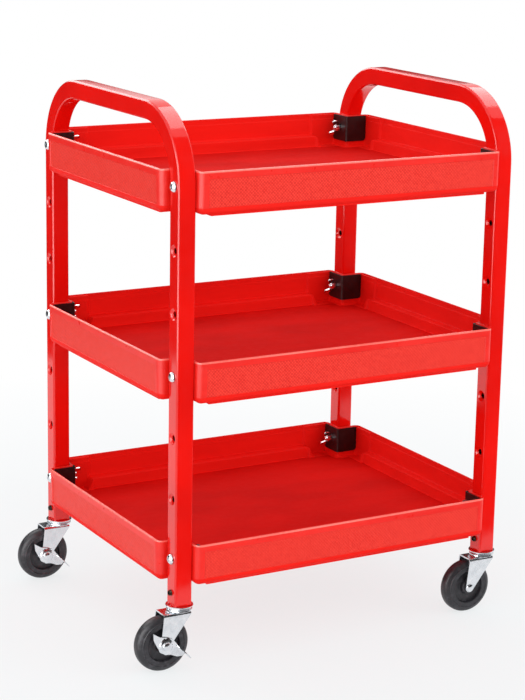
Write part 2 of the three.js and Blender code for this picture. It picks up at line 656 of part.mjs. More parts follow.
Object.entries(BOLTED_HOLES).forEach(([level, hole]) => {
  const height = FIRST_HOLE + hole * HOLE_PITCH;
  cart.add(tray(`${level}_tray`, height));
  CORNERS.forEach(({ name, x, y }) => {
    const group = new THREE.Group();
    group.position.set(x * LEG_X, y * LEG_Y, height);
    const mirror = (body) => {
      let turnedBody = body;
      if (x > 0) {
        turnedBody = turnedBody.mirror([1, 0, 0]);
      }
      if (y > 0) {
        turnedBody = turnedBody.mirror([0, 1, 0]);
      }
      return turnedBody;
    };
    group.add(cornerBracket(`${level}_bracket_${name}`, mirror));
    group.add(bolt(`${level}_bolt_${name}`, mirror));
    group.add(wingNut(`${level}_wing_nut_${name}`, mirror));
    cart.add(group);
  });
});

CORNERS.forEach(({ name, x, y }) => {
  const group = new THREE.Group();
  group.position.set(x * LEG_X, y * LEG_Y, 0);
  const braked = x < 0;
  group.add(casterStem(`caster_stem_${name}`));
  group.add(casterFork(`caster_fork_${name}`, braked));
  group.add(casterWheel(`caster_wheel_${name}`));
  group.add(setScrew(`set_screw_${name}`));
  if (braked) {
    group.add(brakeLever(`brake_lever_${name}`));
  }
  cart.add(group);
});

// Origin on the floor, under the centre of the bounding box.
const bounds = new THREE.Box3().setFromObject(cart, true);
const centre = bounds.getCenter(new THREE.Vector3());
cart.position.set(-centre.x, -centre.y, -bounds.min.z);
cart.updateMatrixWorld(true);

export default cart;
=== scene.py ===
"""Rolling utility cart: two bent square-tube end frames, three moulded trays and four casters.

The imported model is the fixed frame, in metres. Every piece below is modelled in millimetres
about a place of its own, such as a leg's axis or a tray's rim, and then stands for its node.
"""

import logging
import math
from dataclasses import dataclass, replace
from enum import Enum, IntEnum
from typing import Callable, Iterable, Sequence

import bmesh
import bpy
from mathutils import Matrix, Vector


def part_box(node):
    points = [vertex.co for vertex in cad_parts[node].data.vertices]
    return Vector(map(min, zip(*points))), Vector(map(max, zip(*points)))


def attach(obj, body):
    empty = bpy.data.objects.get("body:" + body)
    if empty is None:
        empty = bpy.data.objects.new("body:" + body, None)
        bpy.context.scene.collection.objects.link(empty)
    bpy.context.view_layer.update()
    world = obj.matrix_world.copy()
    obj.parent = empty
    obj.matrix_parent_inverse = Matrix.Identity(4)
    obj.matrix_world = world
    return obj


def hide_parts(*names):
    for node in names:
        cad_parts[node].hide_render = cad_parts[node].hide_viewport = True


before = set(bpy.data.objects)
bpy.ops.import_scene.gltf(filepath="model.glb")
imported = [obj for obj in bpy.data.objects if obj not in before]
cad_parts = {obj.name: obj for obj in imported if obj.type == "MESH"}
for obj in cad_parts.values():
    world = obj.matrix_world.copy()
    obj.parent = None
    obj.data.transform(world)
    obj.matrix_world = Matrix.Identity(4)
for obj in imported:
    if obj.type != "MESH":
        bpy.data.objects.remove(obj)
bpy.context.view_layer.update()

LOG = logging.getLogger("cart")
MM = 0.001
FULL_TURN = 2 * math.pi
QUARTER_TURN = math.pi / 2
CREASE = 32.0  # degrees: an edge sharper than this stays sharp
TURNED_CREASE = 40.0  # degrees, on forms turned about an axis
WHEEL_CREASE = 38.0
WELD = 0.002  # millimetres: points closer than this become one
THREAD_DEPTH = 0.55  # of the pitch
HERE = Matrix()
ALONG_X = Matrix.Rotation(QUARTER_TURN, 4, "Y")  # lays a form's Z along +X
AGAINST_X = Matrix.Rotation(-QUARTER_TURN, 4, "Y")
ALONG_Y = Matrix.Rotation(-QUARTER_TURN, 4, "X")

Thing = bpy.types.Object
Tree = bpy.types.NodeTree
Node = bpy.types.Node
Socket = bpy.types.NodeSocket
Point2 = tuple[float, float]
Point3 = tuple[float, float, float]
Outline = list[Point2]


class Side(Enum):
    """The two ends of the cart, by the sign of X."""

    LEFT = -1
    RIGHT = 1


class Face(Enum):
    """The front and the rear of the cart, by the sign of Y."""

    FRONT = -1
    REAR = 1


class Level(Enum):
    """The trays from the floor up."""

    BOTTOM = "bottom"
    MIDDLE = "middle"
    TOP = "top"


class Wall(IntEnum):
    """Which stretch of a tray's plan a point belongs to. A wall has the number of its axis."""

    LONG = 0
    SHORT = 1
    CORNER = 2


class TraySlot(IntEnum):
    """The material slots of a tray."""

    PLAIN = 0
    WOVEN = 1
    BORDER = 2
    # the rim's outer rounding, in the pale red of a painted highlight
    EDGE = 3
    # the tray floor, in the deeper red of painted shade
    FLOOR = 4


# ---- Curves and meshes ---------------------------------------------------------------------


def held(share: float) -> float:
    """Holds a share to the range from 0 to 1."""
    return max(0.0, min(1.0, share))


def eased(share: float) -> float:
    """Eases a share in and out over the range from 0 to 1."""
    t = held(share)
    return t * t * (3 - 2 * t)


def fillet(corners: Sequence[Sequence[float]], closed: bool = False, steps: int = 5) -> Outline:
    """Rounds the corners of a path.

    Args:
        corners: points as (x, y) or (x, y, radius), a corner with no radius staying sharp.
        closed: whether the last corner joins the first.
        steps: edges in each rounded corner.

    Returns:
        The points of the rounded path.
    """
    path: Outline = []
    count = len(corners)
    for index, corner in enumerate(corners):
        here = Vector(corner[:2])
        radius = corner[2] if len(corner) > 2 else 0.0
        is_end = not closed and index in (0, count - 1)
        if radius <= 0 or is_end:
            path.append(tuple(here))
            continue
        back = (Vector(corners[index - 1][:2]) - here).normalized()
        ahead = (Vector(corners[(index + 1) % count][:2]) - here).normalized()
        half = math.acos(max(-1.0, min(1.0, back.dot(ahead)))) / 2
        centre = here + (back + ahead).normalized() * (radius / math.sin(half))
        start = here + back * (radius / math.tan(half)) - centre
        end = here + ahead * (radius / math.tan(half)) - centre
        sweep = math.atan2(start.x * end.y - start.y * end.x, start.dot(end))
        for step in range(steps + 1):
            turn = Matrix.Rotation(sweep * step / steps, 2)
            path.append(tuple(centre + turn @ start))
    return path


def bore_profile(radius: float, length: float) -> Outline:
    """The profile of a plain bore from the origin up Z, for turning."""
    return [(0, 0), (radius, 0), (radius, length), (0, length)]


class Skin:
    """Points and faces gathered for one mesh, in millimetres about the piece's own place."""

    def __init__(self) -> None:
        """Starts an empty skin."""
        self.points: list[Vector] = []
        self.faces: list[tuple[int, ...]] = []
        self.finishes: list[int] = []

    def add_points(self, points: Iterable[Sequence[float]]) -> list[int]:
        """Adds points.

        Args:
            points: places in millimetres.

        Returns:
            The index of each new point.
        """
        first = len(self.points)
        self.points.extend(Vector(point) for point in points)
        return list(range(first, len(self.points)))

    def add_face(self, corners: Sequence[int], finish: int = 0) -> None:
        """Adds one face by its corners, in a material slot."""
        self.faces.append(tuple(corners))
        self.finishes.append(finish)

    def loft(
        self,
        rings: Sequence[Sequence[Sequence[float]]],
        capped: bool = True,
        looped: bool = False,
        finishes: Sequence[int] | None = None,
    ) -> list[list[int]]:
        """Spans closed rings of equally many points.

        Args:
            rings: the rings in order, each a closed loop.
            capped: whether the first and the last ring are closed by a face.
            looped: whether the last ring is joined to the first.
            finishes: the material slot of the band that follows each ring.

        Returns:
            The indices of each ring's points.
        """
        indices = [self.add_points(ring) for ring in rings]
        bands = list(zip(indices, indices[1:]))
        if looped:
            bands.append((indices[-1], indices[0]))
        for band, (low, high) in enumerate(bands):
            finish = finishes[band] if finishes else 0
            for j in range(len(low)):
                k = (j + 1) % len(low)
                self.add_face((low[j], low[k], high[k], high[j]), finish)
        if capped and not looped:
            self.add_face(indices[0][::-1])
            self.add_face(indices[-1])
        return indices

    def lathe(self, profile: Sequence[Point2], segments: int, place: Matrix = HERE) -> "Skin":
        """Turns a profile about Z.

        Args:
            profile: (radius, height) pairs. Ends on the axis, or else closes on itself.
            segments: sides of the turned form.
            place: where the form's own axes go.

        Returns:
            The skin itself.
        """
        on_axis = profile[0][0] == 0 and profile[-1][0] == 0
        body = profile[1:-1] if on_axis else profile
        rings = []
        for radius, height in body:
            angles = (FULL_TURN * k / segments for k in range(segments))
            ring = ((radius * math.cos(a), radius * math.sin(a), height) for a in angles)
            rings.append([place @ Vector(point) for point in ring])
        indices = self.loft(rings, capped=False, looped=not on_axis)
        if on_axis:
            for ring, (_, height) in ((indices[0], profile[0]), (indices[-1], profile[-1])):
                centre = self.add_points([place @ Vector((0, 0, height))])[0]
                for j in range(segments):
                    self.add_face((ring[j], ring[(j + 1) % segments], centre))
        return self

    def piece(self, name: str, finishes: Sequence["Finish"], crease: float = CREASE) -> Thing:
        """Makes the object, with its faces turned outwards and its flat faces kept crisp.

        Args:
            name: the object's name.
            finishes: the finish of each material slot.
            crease: the angle in degrees above which an edge stays sharp.

        Returns:
            The new object, in metres.
        """
        mesh = bpy.data.meshes.new(name)
        mesh.from_pydata([point * MM for point in self.points], [], self.faces)
        mesh.polygons.foreach_set("material_index", self.finishes)
        for finish in finishes:
            mesh.materials.append(finish.material())
        form = bmesh.new()
        form.from_mesh(mesh)
        bmesh.ops.remove_doubles(form, verts=form.verts, dist=WELD * MM)
        bmesh.ops.dissolve_degenerate(form, edges=form.edges, dist=WELD * MM)
        bmesh.ops.recalc_face_normals(form, faces=form.faces)
        form.to_mesh(mesh)
        form.free()
        shade(mesh, crease)
        return new_object(name, mesh)


def lofted(name: str, rings: Sequence[Sequence[Sequence[float]]], finish: "Finish") -> Thing:
    """Makes an object of one finish that spans closed rings.

    Args:
        name: the object's name.
        rings: the rings in order, in millimetres.
        finish: of the whole object.

    Returns:
        The new object, in metres.
    """
    skin = Skin()
    skin.loft(rings)
    return skin.piece(name, [finish])


def new_object(name: str, data: bpy.types.ID) -> Thing:
    """Adds an object to the scene.

    Args:
        name: the object's name.
        data: its mesh, lamp or camera.

    Returns:
        The new object.
    """
    thing = bpy.data.objects.new(name, data)
    bpy.context.scene.collection.objects.link(thing)
    return thing


def shade(mesh: bpy.types.Mesh, crease: float) -> None:
    """Shades a mesh smooth, apart from edges sharper than the crease in degrees."""
    mesh.shade_smooth()
    mesh.set_sharp_from_angle(angle=math.radians(crease))


def settle(thing: Thing, crease: float | None = CREASE) -> Thing:
    """Applies an object's modifiers to its mesh.

    Args:
        thing: the object with modifiers.
        crease: the angle in degrees above which an edge stays sharp, or None where the
            modifiers settle the shading too.

    Returns:
        The same object.
    """
    bpy.context.view_layer.update()
    graph = bpy.context.evaluated_depsgraph_get()
    mesh = bpy.data.meshes.new_from_object(thing.evaluated_get(graph))
    thing.modifiers.clear()
    thing.data = mesh
    if crease is not None:
        shade(mesh, crease)
    return thing


def soften(thing: Thing, width: float, segments: int = 2) -> Thing:
    """Rounds an object's sharp edges.

    Args:
        thing: the object.
        width: of the bevel, in millimetres.
        segments: edges across the bevel.

    Returns:
        The same object.
    """
    bevel = thing.modifiers.new("soft edge", "BEVEL")
    bevel.width = width * MM
    bevel.segments = segments
    bevel.limit_method = "ANGLE"
    bevel.angle_limit = math.radians(CREASE)
    return settle(thing)


def carve(thing: Thing, cutter: Thing) -> Thing:
    """Cuts one solid out of another and throws the cutter away.

    Args:
        thing: the solid that stays.
        cutter: the solid that is taken out of it.

    Returns:
        The carved object.
    """
    cut = thing.modifiers.new("cut", "BOOLEAN")
    cut.operation = "DIFFERENCE"
    cut.solver = "EXACT"
    cut.object = cutter
    settle(thing)
    clear(cutter)
    return thing


def joined(main: Thing, *others: Thing) -> Thing:
    """Gathers several objects' meshes into the first one.

    Args:
        main: the object that stays.
        others: objects with the same materials, which are removed.

    Returns:
        The first object.
    """
    gathered = bmesh.new()
    for thing in (main, *others):
        gathered.from_mesh(thing.data)
    gathered.to_mesh(main.data)
    gathered.free()
    shade(main.data, CREASE)
    clear(*others)
    return main


def clear(*things: Thing) -> None:
    """Removes objects that have served their turn."""
    for thing in things:
        bpy.data.objects.remove(thing)


# ---- Finishes ------------------------------------------------------------------------------


def linear(colour: str) -> tuple[float, float, float, float]:
    """Turns an sRGB hex colour to linear light.

    Args:
        colour: such as "#d8140f".

    Returns:
        Red, green, blue and an alpha of 1.
    """
    parts = (int(colour[k : k + 2], 16) / 255 for k in (1, 3, 5))
    light = (c / 12.92 if c <= 0.04045 else ((c + 0.055) / 1.055) ** 2.4 for c in parts)
    return (*light, 1.0)


def add_node(
    tree: Tree,
    kind: str,
    settings: dict[str, object] | None = None,
    inputs: dict[str | int, object] | None = None,
) -> Node:
    """Adds a node with its settings and its links.

    Args:
        tree: the material's or the world's node tree.
        kind: the node's type after "ShaderNode", such as "TexNoise".
        settings: properties of the node.
        inputs: for each input, the socket or the node that feeds it, or its plain value.

    Returns:
        The new node.
    """
    made = tree.nodes.new(f"ShaderNode{kind}")
    for name, value in (settings or {}).items():
        setattr(made, name, value)
    for name, value in (inputs or {}).items():
        source = value.outputs[0] if isinstance(value, Node) else value
        if isinstance(source, Socket):
            tree.links.new(source, made.inputs[name])
        else:
            made.inputs[name].default_value = source
    return made


def per_metre(size: float) -> float:
    """The texture scale whose pattern repeats at a size in millimetres."""
    return 1 / (size * MM)


def seen(tree: Tree) -> Node:
    """Tells whether a surface is looked at, straight or in gloss or glass, or lit from.

    Args:
        tree: the node tree.

    Returns:
        A node whose value is 1 where it is looked at, or else 0.
    """
    rays = add_node(tree, "LightPath").outputs
    ways = {0: rays["Is Camera Ray"], 1: rays["Is Glossy Ray"]}
    looked = add_node(tree, "Math", {"operation": "MAXIMUM"}, ways)
    ways = {0: looked, 1: rays["Is Transmission Ray"]}
    return add_node(tree, "Math", {"operation": "MAXIMUM"}, ways)


@dataclass(frozen=True)
class Clouds:
    """Cloudy noise of a real size.

    The size of one cloud is in millimetres. The detail is how much finer it goes, the span is
    the part of its values that counts, and it is packed closer along an axis by its share.
    """

    size: float
    detail: float = 3.0
    span: Point2 = (0.3, 0.7)
    packed: Point3 | None = None

    def bare(self, tree: Tree, place: Socket) -> Node:
        """Lays the bare noise.

        Args:
            tree: the node tree.
            place: the coordinate it is laid on.

        Returns:
            A node whose values lie near 0.5.
        """
        on: Node | Socket = place
        if self.packed:
            on = add_node(tree, "Mapping", inputs={"Vector": place, "Scale": self.packed})
        values = {"Vector": on, "Scale": per_metre(self.size), "Detail": self.detail}
        return add_node(tree, "TexNoise", inputs=values)

    def laid(self, tree: Tree, place: Socket, result: Point2 = (0.0, 1.0)) -> Node:
        """Lays the noise and stretches its span to a result.

        Args:
            tree: the node tree.
            place: the coordinate it is laid on.
            result: the values at the two ends of the span.

        Returns:
            The node with those values.
        """
        values = {"From Min": self.span[0], "From Max": self.span[1]}
        values |= {"To Min": result[0], "To Max": result[1]}
        return add_node(tree, "MapRange", inputs={"Value": self.bare(tree, place), **values})


@dataclass(frozen=True)
class Finish:
    """A surface: what it is made of and how it was made.

    The first colour shows where the patches are thin and the second where they are thick. The
    gloss clouds add from one end to the other of the gloss range to the roughness. The relief
    stands as high as the depth, in millimetres.
    """

    name: str
    colours: tuple[str, str]
    roughness: float
    metallic: float = 0.0
    patches: Clouds | None = None
    gloss: Clouds | None = None
    gloss_range: Point2 = (0.0, 0.0)
    relief: Clouds | None = None
    depth: float = 0.0
    specular: float = 0.5

    def material(self) -> bpy.types.Material:
        """Makes the finish's material the first time it is asked for.

        Returns:
            The material.
        """
        made = bpy.data.materials.get(self.name)
        if made is not None:
            return made
        made = bpy.data.materials.new(self.name)
        made.use_nodes = True
        tree = made.node_tree
        tree.nodes.clear()
        place = add_node(tree, "TexCoord").outputs["Object"]
        values = {
            "Base Color": linear(self.colours[1]),
            "Roughness": self.roughness,
            "Metallic": self.metallic,
            "Specular IOR Level": self.specular,
        }
        if self.patches:
            blend = add_node(tree, "ValToRGB", inputs={"Fac": self.tone(tree, place)})
            for stop, colour in zip(blend.color_ramp.elements, self.colours):
                stop.color = linear(colour)
            values["Base Color"] = blend
        if self.gloss:
            ends = (self.roughness + self.gloss_range[0], self.roughness + self.gloss_range[1])
            values["Roughness"] = self.gloss.laid(tree, place, ends)
        if self.relief:
            depth = {"Distance": self.depth * MM, "Strength": 1.0}
            height = self.height(tree, place)
            values["Normal"] = add_node(tree, "Bump", inputs={"Height": height, **depth})
        shader = add_node(tree, "BsdfPrincipled", inputs=values)
        add_node(tree, "OutputMaterial", inputs={"Surface": self.surface(tree, shader, place)})
        return made

    def tone(self, tree: Tree, place: Socket) -> Node:
        """The share of the second colour, from 0 to 1."""
        return self.patches.laid(tree, place)

    def height(self, tree: Tree, place: Socket) -> Node:
        """The relief, from 0 to 1."""
        return self.relief.bare(tree, place)

    def surface(self, tree: Tree, shader: Node, place: Socket) -> Node:
        """What is seen of the shader: all of it, on any plain surface."""
        return shader


@dataclass(frozen=True)
class MouldedPlastic(Finish):
    """Injection-moulded polypropylene from a spark-eroded tool: slight flow marks drawn out along
    the walls, and a gloss that drifts a little."""

    patches: Clouds = Clouds(60.0, packed=(0.5, 1.0, 3.0))
    gloss: Clouds = Clouds(9.0)
    gloss_range: Point2 = (-0.05, 0.06)


@dataclass(frozen=True)
class WovenPlastic(MouldedPlastic):
    """The same plastic where the tool is cut with a fine diamond pattern, like coarse cloth. The
    real one repeats at about 2 mm. It is drawn at more than twice that so that it shows, and the
    speckle of the tool's grain is drawn about as coarse."""

    pitch: float = 4.5
    grain_share: float = 0.25
    speckle: Clouds = Clouds(3.0, span=(0.35, 0.65))
    speckle_share: float = 0.45
    tone_span: Point2 = (0.05, 1.15)

    def height(self, tree: Tree, place: Socket) -> Node:
        """Crosses two sets of slanting ridges, on whichever way the wall runs.

        Args:
            tree: the node tree.
            place: the coordinate the pattern is laid on.

        Returns:
            The node with the height.
        """
        axes = add_node(tree, "SeparateXYZ", inputs={"Vector": place}).outputs
        along = add_node(tree, "Math", {"operation": "ADD"}, {0: axes["X"], 1: axes["Y"]})
        scale = FULL_TURN * per_metre(self.pitch)
        ridges = {}
        for index, way in enumerate(("ADD", "SUBTRACT")):
            slant = add_node(tree, "Math", {"operation": way}, {0: along, 1: axes["Z"]})
            turns = add_node(tree, "Math", {"operation": "MULTIPLY"}, {0: slant, 1: scale})
            wave = add_node(tree, "Math", {"operation": "SINE"}, {0: turns})
            ridges[index] = add_node(tree, "MapRange", inputs={"Value": wave, "From Min": -1.0})
        cloth = add_node(tree, "Math", {"operation": "MULTIPLY"}, ridges)
        rough = {"Value": self.relief.bare(tree, place), "To Max": self.grain_share}
        grain = add_node(tree, "MapRange", inputs=rough)
        return add_node(tree, "Math", {"operation": "ADD"}, {0: cloth, 1: grain})

    def tone(self, tree: Tree, place: Socket) -> Node:
        """Paints shade into the hollows with the first colour and a highlight onto the crests
        with the second, with a speckle over all.

        Args:
            tree: the node tree.
            place: the coordinate the pattern is laid on.

        Returns:
            The node with the share of the second colour.
        """
        speckle = self.speckle.laid(tree, place, (0, self.speckle_share))
        parts = {0: self.height(tree, place), 1: speckle}
        total = add_node(tree, "Math", {"operation": "ADD"}, parts)
        ends = {"From Min": self.tone_span[0], "From Max": self.tone_span[1]}
        return add_node(tree, "MapRange", inputs={"Value": total, **ends})


@dataclass(frozen=True)
class FloorPaint(Finish):
    """Matt paint that shows as a white studio floor and keeps the cart's shadow. It glows less
    within a metre of the cart, and there its glow is a light cool grey, a painted shade round the
    cart that also cancels the red light bounced onto the floor."""

    glow: float = 0.82
    fade: Point2 = (0.6, 1.3)
    # the glow's colour near the cart: a cool grey that is painted shade
    near: str = "#f4f7f8"

    def surface(self, tree: Tree, shader: Node, place: Socket) -> Node:
        """Lays the glow over the paint where the floor is looked at.

        Args:
            tree: the node tree.
            shader: the paint.
            place: the coordinate, from the cart's middle.

        Returns:
            The mixed shader.
        """
        away = add_node(tree, "VectorMath", {"operation": "LENGTH"}, {0: place}).outputs["Value"]
        ends = {"Value": away, "From Min": self.fade[0], "From Max": self.fade[1]}
        far = add_node(tree, "MapRange", inputs=ends)
        # Near the cart the glow is the cool grey of the painted shade, and white further off.
        white = add_node(tree, "ValToRGB", inputs={"Fac": far})
        for stop, colour in zip(white.color_ramp.elements, (self.near, "#ffffff")):
            stop.color = linear(colour)
        lit = add_node(tree, "Emission", inputs={"Color": white, "Strength": 1.0})
        shown = add_node(tree, "MapRange", inputs={**ends, "To Min": self.glow})
        share = add_node(tree, "Math", {"operation": "MULTIPLY"}, {0: seen(tree), 1: shown})
        return add_node(tree, "MixShader", inputs={0: share, 1: shader, 2: lit})


# Polyester powder, sprayed and baked on steel tube: a deep even red whose sharp reflections
# break up in a faint orange peel.
RED_POWDER = Finish(
    "gloss red powder coat", ("#e20f08", "#f2130b"), 0.1, patches=Clouds(90.0, 2.0),
    gloss=Clouds(14.0), gloss_range=(-0.02, 0.03), relief=Clouds(2.4, 1.0), depth=0.006,
    specular=0.65,
)
# Moulded against a finely grained tool: a satin red that hardly mirrors anything.
RED_PLASTIC = MouldedPlastic(
    "satin red polypropylene", ("#ee1a11", "#f81f15"), 0.6,
    relief=Clouds(1.1, 2.0), depth=0.03, specular=0.1,
)
# Moulded against a tool cut like cloth, with a painted highlight on its crests and painted shade
# in its hollows.
RED_WEAVE = WovenPlastic(
    "diamond-textured red polypropylene", ("#db180e", "#ff3f2f"), 0.45,
    relief=Clouds(1.1, 2.0), depth=0.16, specular=0.3,
)
# Moulded against a polished tool: smooth borders that catch a soft light.
RED_BORDER = MouldedPlastic(
    "polished red polypropylene", ("#ee1a11", "#f8281e"), 0.32,
    relief=Clouds(2.0, 2.0), depth=0.003, specular=0.4,
)
# A pale red on the rim's outer rounding, a painted highlight: a light line along the rim.
RED_RIM_PAINTED_HIGHLIGHT = MouldedPlastic(
    "rubbed red polypropylene edge", ("#ff6a5e", "#ff8378"), 0.25,
    relief=Clouds(2.0, 2.0), depth=0.003, specular=0.5,
)
# Moulded against a matt tool and dull at a slant, in a deeper red than the walls that is painted
# shade on the tray floors.
RED_FLOOR_PAINTED_SHADE = MouldedPlastic(
    "matt red polypropylene floor", ("#cb0e09", "#dc130d"), 0.7,
    relief=Clouds(1.4, 2.0), depth=0.02, specular=0.03,
)
# Electroplated on pressed steel: cool white metal, clouded where the passivation is thicker,
# with fine drawing lines from the press.
ZINC = Finish(
    "bright zinc plate", ("#dde1e6", "#f0f2f5"), 0.2, 1.0, patches=Clouds(11.0, 4.0),
    gloss=Clouds(5.0, span=(0.25, 0.75)), gloss_range=(-0.05, 0.07),
    relief=Clouds(0.8, 2.0, packed=(1.0, 1.0, 0.12)), depth=0.003,
)
# The same plate in the driver recess, its colour taken down towards dark grey as painted shade.
ZINC_PAINTED_RECESS_SHADE = replace(
    ZINC, name="dull zinc in a driver recess", colours=("#dde1e6", "#4a4b4f"), roughness=0.5
)
# Stoved on pressed steel: satin black with a fine pebble, greyer where dust lies in its pits.
ENAMEL = Finish(
    "black enamel", ("#140e10", "#1f1719"), 0.34, patches=Clouds(7.0, 5.0, (0.45, 0.75)),
    gloss=Clouds(7.0, 5.0, (0.45, 0.75)), gloss_range=(0.0, 0.15),
    relief=Clouds(0.9, 2.0), depth=0.02,
)
# Hot-blacked on a machined screw: dark oily metal, brown where it has worn.
OXIDE = Finish(
    "black oxide", ("#2e2823", "#6a5747"), 0.3, 0.8, patches=Clouds(3.0, 4.0, (0.45, 0.7)),
    relief=Clouds(0.5, 1.0), depth=0.01,
)
# Hot-rolled steel left bare inside a tube: dark mill scale, dull and patchy with oil.
BORE = Finish(
    "bare mill-scale steel", ("#14100f", "#2b1d18"), 0.6, 0.5,
    patches=Clouds(12.0, 5.0, (0.4, 0.7)), relief=Clouds(1.5), depth=0.03,
)
# Moulded round a steel bush: satin black with a leathery grain, greyer where it is scuffed.
TYRE = Finish(
    "black moulded polyolefin", ("#29282d", "#47464c"), 0.42,
    patches=Clouds(8.0, 6.0, (0.5, 0.75)), gloss=Clouds(8.0, 6.0, (0.5, 0.75)),
    gloss_range=(0.0, 0.16), relief=Clouds(1.3), depth=0.03,
)
# Rolled on: an even, nearly white matt ground.
FLOOR_PAINT = FloorPaint(
    "matt white floor paint", ("#f4f4f5", "#f7f7f8"), 0.9, patches=Clouds(400.0)
)
# Pressed wool: black with no shine.
FELT = Finish("black felt card", ("#141414", "#141414"), 1.0)

TRAY_FINISHES = {
    TraySlot.PLAIN: RED_PLASTIC,
    TraySlot.WOVEN: RED_WEAVE,
    TraySlot.BORDER: RED_BORDER,
    TraySlot.EDGE: RED_RIM_PAINTED_HIGHLIGHT,
    TraySlot.FLOOR: RED_FLOOR_PAINTED_SHADE,
}


# ---- Places --------------------------------------------------------------------------------


def span(node: str) -> tuple[Vector, Vector]:
    """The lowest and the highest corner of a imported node, in millimetres."""
    low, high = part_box(node)
    return Vector(low) / MM, Vector(high) / MM


def middle(node: str) -> Vector:
    """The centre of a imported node's box, in millimetres."""
    low, high = span(node)
    return (low + high) / 2


@dataclass(frozen=True)
class Corner:
    """One of the four legs, by the end and the face of the cart it stands at."""

    side: Side
    face: Face

    @property
    def name(self) -> str:
        """The corner's words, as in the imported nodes' names."""
        return f"{self.face.name}_{self.side.name}".lower()

    @property
    def axis(self) -> Vector:
        """The leg's axis on the floor, in millimetres."""
        centre = middle(f"{self.side.name.lower()}_frame")
        return Vector((centre.x, middle(f"caster_stem_{self.name}").y, 0))

    def fastening(self, height: float) -> Matrix:
        """Turns a fastening with the inside of the cart towards +X and +Y to this corner.

        Args:
            height: of the bolt above the floor, in millimetres.

        Returns:
            The matrix for a mesh in millimetres.
        """
        mirror = Matrix.Diagonal((-self.side.value, -self.face.value, 1, 1))
        place = self.axis
        return Matrix.Translation((place.x, place.y, height)) @ mirror


CORNERS = tuple(Corner(side, face) for side in Side for face in Face)


def put(
    form: Thing, name: str, node: str, body: str, slot: str, place: Matrix = HERE
) -> None:
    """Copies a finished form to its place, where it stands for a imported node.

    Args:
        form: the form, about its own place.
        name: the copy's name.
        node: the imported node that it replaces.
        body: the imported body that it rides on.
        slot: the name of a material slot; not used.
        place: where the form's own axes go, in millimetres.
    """
    mesh = form.data.copy()
    mesh.name = name
    mesh.transform(Matrix.Scale(MM, 4) @ place @ Matrix.Scale(1 / MM, 4))
    if place.determinant() < 0:
        mesh.flip_normals()
    thing = new_object(name, mesh)
    thing.modifiers.new("even faces", "WEIGHTED_NORMAL").keep_sharp = True
    settle(thing, crease=None)
    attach(thing, body)
    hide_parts(node)
    LOG.info("%s: %d faces, rides on %s", thing.name, len(thing.data.polygons), body)


def thread(
    skin: Skin, radius: float, pitch: float, start: float, end: float, steps: int = 20
) -> None:
    """Winds a screw thread round Z.

    Args:
        skin: where the thread is added.
        radius: of the crest, in millimetres.
        pitch: from crest to crest.
        start: where the thread begins along Z.
        end: where it ends.
        steps: sections in each turn.
    """
    depth = THREAD_DEPTH * pitch
    sliver = 0.05  # of the depth: what stands of the thread where it fades out
    buried = radius - depth - 0.3
    root = radius - depth * (1 - sliver)
    foot, crest = pitch * 0.45, pitch * 0.06
    count = int(((end - start) / pitch - 1) * steps)
    rings = []
    for k in range(count + 1):
        angle = FULL_TURN * k / steps
        rise = start + pitch / 2 + pitch * k / steps
        fade = min(1.0, k / steps, (count - k) / steps + sliver)
        top = radius - depth * (1 - fade)
        half = ((top, crest), (root, foot), (buried, foot))
        section = [*((r, -z) for r, z in reversed(half)), *half]
        rings.append([(r * math.cos(angle), r * math.sin(angle), rise + z) for r, z in section])
    skin.loft(rings)


# ---- End frames ----------------------------------------------------------------------------


